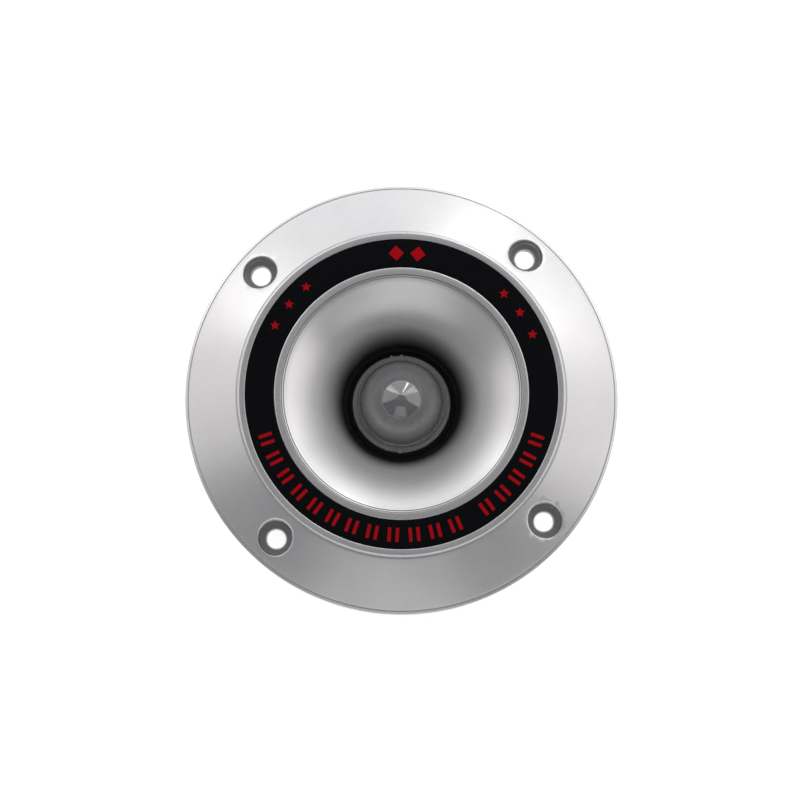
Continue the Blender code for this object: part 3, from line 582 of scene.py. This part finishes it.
def stamped(shape):
    # gives a flat mark its ink's thickness, just proud of the ring
    flat = shape.faces[:]
    raised = bmesh.ops.extrude_face_region(shape, geom=flat)
    up = [item for item in raised["geom"] if isinstance(item, bmesh.types.BMVert)]
    bmesh.ops.translate(shape, verts=up, vec=(0, 0, marks["thick"] * mm))
    bmesh.ops.recalc_face_normals(shape, faces=shape.faces[:])
    return shape


def star():
    shape = bmesh.new()
    bmesh.ops.create_circle(shape, cap_ends=True, segments=10, radius=marks["star"] * mm)
    bmesh.ops.scale(shape, vec=(marks["starWaist"], marks["starWaist"], 1), verts=shape.verts[:][1::2])
    return stamped(shape)


def plate(width, height, turned=0.0):
    shape = bmesh.new()
    bmesh.ops.create_grid(shape, x_segments=1, y_segments=1, size=0.5)
    bmesh.ops.scale(shape, vec=(width * mm, height * mm, 1), verts=shape.verts[:])
    bmesh.ops.bevel(
        shape, geom=shape.verts[:], offset=0.12 * mm, segments=2, profile=0.5, affect="VERTICES", material=-1,
    )
    bmesh.ops.rotate(shape, cent=(0, 0, 0), matrix=Matrix.Rotation(turned, 3, "Z"), verts=shape.verts[:])
    return stamped(shape)


def onRing(angle, radius, sideways=0.0):
    spin = Matrix.Rotation(math.radians(angle - 90), 4, "Z")
    lift = (trim["top"] - 0.01) * mm
    return spin @ Matrix.Translation((sideways * mm, radius * mm, lift))


def trimPrint():
    m = marks
    upright = Matrix.Rotation(math.radians(m["upright"]), 4, "Z")  # no star leans with its place on the ring
    spots = [onRing(a, m["starRow"]).translation for a in m["stars"]]
    group = copies(star(), [Matrix.Translation(spot) @ upright for spot in spots])
    pairs = [onRing(a, m["row"], side * m["gap"] / 2) for a in m["bars"] for side in (-1, 1)]
    diamonds = [onRing(a, m["row"]) for a in m["top"]]
    bar, diamond = plate(m["bar"], m["height"]), plate(m["diamond"], m["diamond"], math.pi / 4)
    for shape, places in ((bar, pairs), (diamond, diamonds)):
        extra = bpy.data.meshes.new("extra")
        copies(shape, places).to_mesh(extra)
        group.from_mesh(extra)
    settle(asObject("trimPrint", group), redInk(), rest, [])


trimRing()
trimPrint()
print("trim ring printed")


plug = {
    "tip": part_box("phase_plug")[1].z / mm, "low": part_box("phase_plug")[0].z / mm,
    "shoulder": 47.8, "rimLow": 46.85, "radius": 10.3, "rim": 11.5, "spigot": 10.5, "wall": 1.25,
    "boss": 4.0, "bore": 1.6, "boreTop": 53.0, "nub": 0.42, "nubs": (86.4, 264.5, 98.0),
}


def nose(radius, low, high, count):
    # a bullet's outline: one arc that leaves the body upright and ends at the tip
    length = high - low
    arc = (radius ** 2 + length ** 2) / (2 * radius)
    found = []
    for i in range(count + 1):
        h = length * math.sin(math.pi / 2 * i / count)
        found.append((math.sqrt(arc ** 2 - h ** 2) + radius - arc, low + h))
    return found


def phasePlug():
    p = plug
    step, foot, low, boss = p["shoulder"], p["radius"], p["low"], p["boss"]
    bullet = nose(foot - 0.1, step + 0.35, p["tip"], 32)[:-1]
    hollow = nose(foot - p["wall"], step, p["tip"] - 1.8, 24)
    hollow = [point for point in hollow if point[0] > boss + 0.5]
    roof = hollow[-1][1]
    corners = [
        (0, p["tip"]), *reversed(bullet), (foot - 0.1, step + 0.12, 0.04),
        (foot, step + 0.12, 0.03), (foot + 0.02, step + 0.34, 0.1),  # a bead round the foot
        (foot + 0.30, step + 0.34, 0.11), (foot + 0.34, step, 0.05),
        (foot + 0.66, step, 0.03), (foot + 0.70, step + 0.16, 0.04),  # and a lower one outside it
        (foot + 0.82, step + 0.16, 0.04), (foot + 0.86, step, 0.03),
        (p["rim"], step, 0.16), (p["rim"], p["rimLow"], 0.1),
        (p["spigot"], p["rimLow"]), (p["spigot"], low, 0.1), (foot - p["wall"], low, 0.1), *hollow,
        (boss + 0.15, roof + 0.25), (boss, roof - 0.2), (boss, low, 0.1),
        (p["bore"], low, 0.1), (p["bore"], p["boreTop"]), (0, p["boreTop"] + 0.5),
    ]
    settle(asObject("phasePlug", turn(corners, 128, 1.5)), finish["clear_plastic"], rest, ["phase_plug"])
    nub = bmesh.new()  # what is left of the moulding gate
    bmesh.ops.create_uvsphere(nub, u_segments=16, v_segments=8, radius=p["nub"] * mm)
    lift = Vector((0, 0, (step - 0.45) * mm))
    places = [at + lift for at in around(p["nubs"], p["rim"] + 0.02)]
    settle(asObject("plugNubs", copies(nub, places)), finish["clear_plastic"], rest, [], "clear_plastic")


phasePlug()
print("phase plug done")


motor = {
    "bore": 1.6, "lead": 1.1, "leadCircle": 18.8, "leads": (90, 270), "tap": 1.8,
    "yoke": 35.5, "pole": 12.3, "plateTop": 25.0, "cupTaps": (90, 210, 330), "cupCircle": 31.5,
    "magnet": (20.5, 36.5), "topPlate": (13.7, 37.5), "seal": (34.9, 37.3), "seat": 10.9,
    "nut": 2.89, "washer": 3.0, "stud": 1.25, "drillTop": 27,
}


def ring(name, node, inner, outer, soft, body=rest, steps=192):
    # a flat ring with rounded edges, as high as the node that it stands for
    low, high = heights(node)
    corners = [(inner, low, soft), (outer, low, soft), (outer, high, soft), (inner, high, soft)]
    return settle(asObject(name, turn(corners, steps, 8)), finish[slotOf[node]], body, [node])


def magnetMotor():
    m = motor
    low, high = heights("yoke")
    pole, flat = m["pole"], m["plateTop"]
    yoke = asObject("yoke", turn([
        (m["bore"], low, 0.2), (m["yoke"], low, 0.7), (m["yoke"], flat, 0.35),
        (pole + 0.4, flat, 0.2), (pole, flat + 0.5, 0.2), (pole, high, 0.3), (m["bore"], high, 0.15),
    ], 192, 8))
    drill(yoke, m["lead"], low - 3, m["drillTop"], m["leadCircle"], m["leads"])
    drill(yoke, m["tap"], low - 3, m["drillTop"], m["cupCircle"], m["cupTaps"])
    settle(yoke, finish["plated_plate"], rest, ["yoke"])
    ring("magnetRing", "magnet", *m["magnet"], 0.75)
    plate = ring("topPlate", "top_plate", *m["topPlate"], 0.5)
    low, high = heights("top_plate")
    drill(plate, m["lead"], low - 3, high + 3, m["leadCircle"], m["leads"])
    drill(plate, m["tap"], low - 3, high + 3, casting["screwCircle"], casting["screws"])
    settle(plate, finish["plated_plate"], rest, [])
    ring("hornSeal", "horn_seal", *m["seal"], 0.12)
    ring("plugSeat", "plug_seat", m["bore"], m["seat"], 0.1, steps=128)
    ring("plugWasher", "plug_washer", m["bore"], m["washer"], 0.12, steps=64)
    low, high = heights("plug_stud")
    stud = turn([(0, low), (m["stud"], low, 0.3), (m["stud"], high, 0.25), (0, high)], 48, 60)
    settle(asObject("plugStud", stud), finish["zinc_steel"], rest, ["plug_stud"])
    low, high = heights("plug_nut")
    nut = bmesh.new()
    stand = Matrix.Translation((0, 0, (low + high) / 2 * mm)) @ Matrix.Rotation(math.pi / 2, 4, "Z")
    bmesh.ops.create_cone(
        nut, cap_ends=True, segments=6, radius1=m["nut"] * mm, radius2=m["nut"] * mm,
        depth=(high - low) * mm, matrix=stand,
    )
    bmesh.ops.bevel(
        nut, geom=nut.edges[:], offset=0.15 * mm, segments=2, profile=0.5, affect="EDGES", material=-1,
    )
    nut = carve(asObject("plugNut", nut), asObject("bore", rod(m["bore"], low - 2, high + 2)))
    settle(nut, finish["zinc_steel"], rest, ["plug_nut"])


coil = "diaphragm_assembly"
films = {
    "thick": 0.2, "tailThick": 0.08, "tailWide": 1.0,
    "former": (12.6, 12.8), "coil": (12.9, 13.3), "gasket": (16.4, 17.3), "frame": (15.9, 23.5),
}


def coilTail(side):
    # a flat ribbon from the diaphragm over its soft edge, held down where it meets the frame
    node = f"coil_tail_{side}"
    middle = sum(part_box(node), Vector()) / 2
    line = curve((13.4, 46.58), (14.4, 46.63), (15.3, 46.58), 8)
    line += [(15.6, 46.40), (15.9, 46.16), (19.0, 46.16)]
    ribbon = outline(line + [(x, z + films["tailThick"]) for x, z in reversed(line)])
    wide = films["tailWide"] * mm
    pulled = bmesh.ops.extrude_face_region(ribbon, geom=ribbon.faces[:])["geom"]
    far = [v for v in pulled if isinstance(v, bmesh.types.BMVert)]
    bmesh.ops.translate(ribbon, vec=(0, wide, 0), verts=far)
    bmesh.ops.translate(ribbon, vec=(0, -wide / 2, 0), verts=ribbon.verts[:])
    toward = Matrix.Rotation(math.atan2(middle.y, middle.x), 3, "Z")
    bmesh.ops.rotate(ribbon, cent=(0, 0, 0), matrix=toward, verts=ribbon.verts[:])
    bmesh.ops.recalc_face_normals(ribbon, faces=ribbon.faces[:])
    piece = settle(asObject(f"coilTail{side.title()}", ribbon), finish["black_film"], None, [node])
    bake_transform(piece)


def softFilm(name, node, line, clamped=True):
    # a thin film is drawn as a line and given its thickness upwards
    corners = line + [(x, z + films["thick"]) for x, z in reversed(line)]
    film = asObject(name, turn(corners, 128, 4))
    settle(film, finish["black_film"], None if clamped else coil, [node])
    if clamped:  # the clamped edge lies lower, and stays behind
        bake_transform(film)


def diaphragmStack():
    f = films
    valley = curve((11.6, 46.35), (12.2, 46.25), (12.7, 46.0), 6)
    valley += curve((12.7, 46.0), (13.2, 46.25), (14.0, 46.35), 6)[1:]
    softFilm("diaphragm", "diaphragm", valley, clamped=False)
    softFilm("innerSurround", "inner_surround", [
        (9.9, 45.9), (10.85, 45.9), (11.05, 46.05), (11.2, 46.35), (11.5, 46.35),
    ])
    roll = curve((14.1, 46.35), (14.75, 46.48), (15.3, 46.3), 8)
    softFilm("outerSurround", "outer_surround", roll + [(15.7, 45.9), (17.2, 45.9)])
    ring("coilFormer", "coil_former", *f["former"], 0.0, coil, 128)
    ring("voiceCoil", "voice_coil", *f["coil"], 0.08, coil, 128)
    ring("throatGasket", "throat_gasket", *f["gasket"], 0.1, steps=128)
    holder = ring("diaphragmFrame", "diaphragm_frame", *f["frame"], 0.12, steps=128)
    drill(holder, motor["lead"], 43, 48, motor["leadCircle"], motor["leads"])
    settle(holder, finish["black_plastic"], rest, [])
    for side in ("positive", "negative"):
        coilTail(side)


magnetMotor()
diaphragmStack()
print("motor and diaphragm stack done")


screwSizes = {
    "motor": {"head": 2.75, "height": 2.4, "shank": 1.5, "tip": -20.3, "cross": 1.5},
    "cup": {"head": 2.75, "height": 2.4, "shank": 1.5, "tip": -21.6, "cross": 1.5},
    "terminal": {"head": 1.9, "height": 1.2, "shank": 1.0, "tip": -5.5, "cross": 1.05},
}


def screw(name, kind, node, place):
    # pan head with a crossed recess, made along Z with its seat at 0, then put in place
    k = screwSizes[kind]
    head, top, shank, tip = k["head"], k["height"], k["shank"], k["tip"]
    angles = [math.radians(15 * i) for i in range(6)]
    dome = [(head * math.cos(a), top * (0.45 + 0.55 * math.sin(a))) for a in angles]
    piece = asObject(name, turn([
        (0, tip), (shank * 0.7, tip), (shank, tip + 0.8), (shank, 0), (head, 0, 0.1), *dome, (0, top),
    ], 48, 60))
    for wide, long in ((0.26, 1.0), (1.0, 0.26)):
        reach = Vector((k["cross"] * wide, k["cross"] * long, 0))
        slot = box(Vector((0, 0, top * 0.4)) - reach, Vector((0, 0, top + 1)) + reach)
        low = [v for v in slot.verts if v.co.z < top * 0.5 * mm]
        bmesh.ops.scale(slot, vec=(0.72, 0.72, 1), verts=low)
        carve(piece, asObject("recess", slot))
    piece.data.transform(place)
    return settle(piece, finish["black_screw"], rest, [node], sharp=30)


def screws():
    # no two heads have their crosses turned alike
    def turned(angle):
        return Matrix.Rotation(angle, 4, "Z")

    c = casting
    for number, at in enumerate(around(c["screws"], c["screwCircle"]), 1):
        place = Matrix.Translation(at + Vector((0, 0, (c["headSeat"] + 0.3) * mm)))
        screw(f"motorScrew{number}", "motor", f"motor_screw_{number}", place @ turned(number * 0.7))
    under = Matrix.Rotation(math.pi, 4, "X")
    for number, at in enumerate(around(cup["screws"], cup["screwCircle"]), 1):
        place = Matrix.Translation(at + Vector((0, 0, (cup["seat"] - 0.3) * mm))) @ under
        screw(f"cupScrew{number}", "cup", f"cup_screw_{number}", place @ turned(number * 0.9))
    front = Matrix.Rotation(math.pi / 2, 4, "X")
    for number, x in enumerate((-terminal["screwX"], terminal["screwX"]), 1):
        at = Vector((x, terminal["plate"][0] - 0.3, terminal["middle"])) * mm
        place = Matrix.Translation(at) @ front @ turned(number)
        screw(f"terminalScrew{number}", "terminal", f"terminal_screw_{number}", place)


cup = {
    "radius": 37.0, "top": 19.7, "wall": 2.2, "flat": -26.0, "boss": 4.2, "screwCircle": 31.5,
    "screws": (90, 210, 330), "seat": 3.0, "counterbore": 3.4, "clearance": 1.8,
    "window": ((-15.6, -28.5, 2.9), (15.6, -21.8, 17.1)),
}
terminal = {
    "housing": ((-15.3, -30.0, 3.2), (15.3, -22.5, 16.8)), "plate": (-27.8, -26.3), "plateHalf": 21.0,
    "plateHeights": (2.0, 18.0), "middle": 10.0, "screwX": 18.6, "screwHole": 1.3, "markZ": 14.6,
    "x": 8.0, "buttonZ": 11.6, "chamber": (5.5, 4.4, 15.6), "wireZ": 5.9, "wire": 1.4,
    "cap": (4.2, 2.7), "capFront": -33.4, "base": (-27.9, -26.1),
    "spring": 2.0, "springWire": 0.22, "springTurns": 3.5, "board": -22.5,
}


def terminalHoles():
    t = terminal
    hole = laid(rod(t["screwHole"], -4, 4), 0, t["plate"][1], t["middle"])
    places = [Vector((side * t["screwX"] * mm, 0, 0)) for side in (-1, 1)]
    return asObject("terminalHoles", copies(hole, places))


def rearCup():
    c = cup
    radius, top, wall = c["radius"], c["top"], c["wall"]
    head, hole, seat = c["counterbore"], c["clearance"], c["seat"]
    piece = asObject("rearCup", turn([
        (0, 0), (23.6, 0, 0.15), (23.9, 0.35, 0.1), (24.7, 0.35, 0.1), (25.0, 0, 0.15), (radius, 0, 1.3),
        (radius, 17.5, 0.1), (radius - 0.3, 17.75, 0.08), (radius - 0.3, 18.15, 0.08), (radius, 18.4, 0.1),
        (radius, top, 0.25), (0, top),
    ], 192, 6))
    carve(piece, asObject("flat", box((-60, -60, -5), (60, c["flat"], 25))))
    inner = radius - wall
    hollow = asObject("hollow", turn([(0, wall), (inner, wall, 0.8), (inner, 24), (0, 24)], 192, 12))
    carve(hollow, asObject("flat", box((-60, -60, -5), (60, c["flat"] + wall, 30))))
    places = around(c["screws"], c["screwCircle"])
    carve(hollow, asObject("bosses", copies(rod(c["boss"], 1, 30, 48), places)))
    carve(piece, hollow)
    carve(piece, asObject("window", box(*c["window"])))
    stepped = turn([
        (0, -2), (head + 0.4, -2), (head + 0.4, -0.1), (head, 0.3), (head, seat),
        (hole, seat), (hole, 23), (0, 23),
    ], 48, 60)
    carve(piece, asObject("holes", copies(stepped, places)))
    carve(piece, terminalHoles())
    return settle(piece, finish["black_plastic"], rest, ["rear_cup"])


def terminalBlock():
    t = terminal
    (_, front, low), (_, back, high) = t["housing"]
    (wide, tall), z = t["cap"], t["buttonZ"]
    sides = [Vector((side * t["x"] * mm, 0, 0)) for side in (-1, 1)]
    piece = asObject("terminalBlock", box(*t["housing"], 0.45, 1.2))

    def add(name, shape):
        carve(piece, asObject(name, shape), "UNION")

    def cut(name, shape):
        carve(piece, asObject(name, copies(shape, sides)))

    (face, rear), (plateLow, plateHigh), half = t["plate"], t["plateHeights"], t["plateHalf"]
    add("plate", box((-half, face, plateLow), (half, rear, plateHigh), 0.3, 2.4))
    across, up = wide + 1.25, tall + 1.2
    collar = box((-across, front - 0.45, z - up), (across, front + 0.6, z + up), 0.25, 1.2)
    add("collars", copies(collar, sides))
    add("divider", box((-0.6, front - 1.2, low + 0.5), (0.6, front + 0.7, high - 0.5), 0.25))
    bar, stroke = (0.95, 0.22), (0.22, 0.95)
    for x, bars in ((-t["screwX"], (bar, stroke)), (t["screwX"], (bar,))):
        for across, up in bars:  # plus and minus, for the polarity
            low, high = t["markZ"] - up, t["markZ"] + up
            add("mark", box((x - across, face - 0.25, low), (x + across, face + 0.3, high)))
    deep, chamberLow, chamberHigh = t["chamber"]
    cut("chambers", box((-deep, front + 1.8, chamberLow), (deep, back + 3, chamberHigh)))
    across, up = wide + 0.3, tall + 0.3
    cut("windows", box((-across, front - 4, z - up), (across, front + 4, z + up), 0.0, 0.8))
    wire = t["wire"]
    funnel = turn([(0, -4), (wire, -4), (wire, -0.9), (wire + 0.8, 0.1), (wire + 0.8, 3), (0, 3)], 40, 60)
    cut("wireHoles", laid(funnel, 0, front, t["wireZ"]))
    carve(piece, terminalHoles())
    return settle(piece, finish["black_plastic"], rest, ["terminal_block"])


def button(side, x):
    # a cap with a hollow for the finger and three grip ribs, on a wider base
    t = terminal
    (wide, tall), z, (baseFront, baseBack), front = t["cap"], t["buttonZ"], t["base"], t["capFront"]
    cap = box((x - wide, front, z - tall), (x + wide, baseFront + 0.6, z + tall), 0.4, 0.7)
    piece = asObject(f"{side}Button", cap)
    dip = rod(9.0, -6, 6, 96)
    turnToX = Matrix.Translation(Vector((x, front - 8.4, z)) * mm) @ Matrix.Rotation(math.pi / 2, 4, "Y")
    bmesh.ops.scale(dip, vec=(1, 1, 0.55), verts=dip.verts[:])
    bmesh.ops.transform(dip, matrix=turnToX, verts=dip.verts[:])
    carve(piece, asObject("dip", dip))
    for lift in (-0.9, 0.0, 0.9):
        rib = box((x - 2.6, front + 0.25, z + lift - 0.16), (x + 2.6, front + 0.9, z + lift + 0.16), 0.1)
        carve(piece, asObject("rib", rib), "UNION")
    across, up = wide + 0.9, tall + 0.9
    base = box((x - across, baseFront, z - up), (x + across, baseBack, z + up), 0.2)
    carve(piece, asObject("base", base), "UNION")
    node = f"{side}_button"
    return settle(piece, finish[slotOf[node]], node, [node])


def spring(side, x):
    # a round wire wound by a spin that climbs as it turns
    t = terminal
    wire, turns, start = t["springWire"], t["springTurns"], t["base"][1] + 0.3
    run = t["board"] - start - 2 * wire
    steps = int(turns * 32)
    shape = bmesh.new()
    bmesh.ops.create_circle(shape, segments=10, radius=wire * mm)
    stand = Matrix.Translation((t["spring"] * mm, 0, wire * mm)) @ Matrix.Rotation(math.pi / 2, 4, "X")
    bmesh.ops.transform(shape, matrix=stand, verts=shape.verts[:])
    bmesh.ops.spin(
        shape, geom=shape.verts[:] + shape.edges[:], cent=(0, 0, 0), axis=(0, 0, 1),
        dvec=(0, 0, run / steps * mm), angle=math.tau * turns, steps=steps, use_merge=False,
    )
    bmesh.ops.holes_fill(shape, edges=[e for e in shape.edges if e.is_boundary], sides=12)
    bmesh.ops.recalc_face_normals(shape, faces=shape.faces[:])
    along = Matrix.Translation(Vector((x, start, t["buttonZ"])) * mm) @ Matrix.Rotation(-math.pi / 2, 4, "X")
    bmesh.ops.transform(shape, matrix=along, verts=shape.verts[:])
    piece = settle(asObject(f"{side}Spring", shape), finish["zinc_steel"], rest, [f"{side}_spring"], sharp=60)
    x * mm
    t["board"] * mm
    t["buttonZ"] * mm
    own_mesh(piece)


def capacitor():
    # a sleeved can: crimped near one end, its ends set back inside their rims
    low, high = (corner.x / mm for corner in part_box("capacitor"))
    radius, rim, crimp = 5.0, 0.35, high - 2.8
    shape = turn([
        (0, low + rim), (radius - 1.1, low + rim, 0.1), (radius - 0.9, low, 0.1), (radius, low, 0.5),
        (radius, crimp - 0.6, 0.3), (radius - 0.6, crimp, 0.3), (radius, crimp + 0.6, 0.3),
        (radius, high, 0.5), (radius - 0.9, high, 0.1), (radius - 1.1, high - rim, 0.1), (0, high - rim),
    ], 96, 60)
    middle = (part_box("capacitor")[0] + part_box("capacitor")[1]) / 2
    place = Matrix.Translation((0, middle.y, middle.z)) @ Matrix.Rotation(math.pi / 2, 4, "Y")
    bmesh.ops.transform(shape, matrix=place, verts=shape.verts[:])
    settle(asObject("capacitor", shape), finish["capacitor_sleeve"], rest, ["capacitor"])


rearCup()
terminalBlock()
screws()
for side, x in (("red", -terminal["x"]), ("black", terminal["x"])):
    button(side, x)
    spring(side, x)
capacitor()
print("cup, terminals, screws and capacitor done")


def floor():
    shape = bmesh.new()
    bmesh.ops.create_grid(shape, x_segments=1, y_segments=1, size=6)
    piece = asObject("floor", shape)
    paint = Paint("floorPaper", (0.93, 0.93, 0.93), 0.9, Specular_IOR_Level=0.1)
    paint.put("Emission Color", (1, 1, 1, 1))
    paint.put("Emission Strength", 0.6)
    piece.data.materials.append(paint.material)
    piece.location.z = -0.0002


def softBox(name, azimuth, elevation, distance, size, power, tint):
    # a rectangular light aimed at the horn; azimuth 90 is the +Y side
    a, e = math.radians(azimuth), math.radians(elevation)
    away = Vector((math.cos(a) * math.cos(e), math.sin(a) * math.cos(e), math.sin(e)))
    light = bpy.data.lights.new(name, "AREA")
    light.shape = "RECTANGLE"
    light.size, light.size_y = size
    light.energy = power
    light.color = tint
    lamp = bpy.data.objects.new(name, light)
    bpy.context.scene.collection.objects.link(lamp)
    lamp.location = Vector((0, 0, 0.06)) + away * distance
    lamp.rotation_euler = away.to_track_quat("Z", "Y").to_euler()


lights = (  # name, azimuth, elevation, distance, size, power, tint
    ("topBox", 88, 24, 1.1, (2.6, 1.1), 8.2, (0.98, 0.99, 1.0)),
    ("leftPanel", 135, 33, 1.0, (0.36, 0.60), 0.65, (1.0, 0.96, 0.94)),
    ("rightPanel", 32, 33, 1.0, (0.42, 0.60), 0.8, (1.0, 0.98, 0.97)),
    ("leftBox", 162, 24, 1.1, (1.0, 1.1), 2.5, (1.0, 0.97, 0.96)),
    ("rightBox", 2, 24, 1.1, (1.2, 1.1), 3.6, (1.0, 0.97, 0.96)),
    ("lowBox", 262, 31, 1.1, (0.8, 0.4), 0.5, (1, 1, 1)),
    ("nearFloorBox", 270, 6, 1.2, (2.4, 0.36), 2.4, (1, 1, 1)),
    ("strip", 64, 33, 1.0, (0.12, 0.60), 1.1, (1, 1, 1)),  # draws the bright line on the plug
)
view = {"tilt": 8.2, "toward": -93.7, "roll": 86.3, "lens": 104.7, "distance": 0.54, "aside": (-0.35, -0.18)}


def studio():
    floor()
    world = bpy.data.worlds.new("studio")
    bpy.context.scene.world = world
    world.use_nodes = True
    sky = world.node_tree.nodes["Background"]
    sky.inputs["Color"].default_value = (0.24, 0.24, 0.25, 1)
    sky.inputs["Strength"].default_value = 1.0
    for light in lights:
        softBox(*light)


def camera():
    # looks down on the flange, a little from the -Y side
    tilt, toward, roll = (math.radians(view[name]) for name in ("tilt", "toward", "roll"))
    aim = Vector((*view["aside"], casting["rear"])) * mm
    back = Vector((math.sin(tilt) * math.cos(toward), math.sin(tilt) * math.sin(toward), math.cos(tilt)))
    right = Vector((math.cos(roll), math.sin(roll), 0)).cross(back).normalized()
    data = bpy.data.cameras.new("camera")
    data.lens = view["lens"]
    data.sensor_width = 36
    data.clip_start = 0.01
    eye = bpy.data.objects.new("camera", data)
    bpy.context.scene.collection.objects.link(eye)
    turned = Matrix((right, back.cross(right), back)).transposed().to_4x4()
    eye.matrix_world = Matrix.Translation(aim + back * view["distance"]) @ turned
    bpy.context.scene.camera = eye


studio()
camera()
bpy.context.scene.view_settings.view_transform = "Standard"
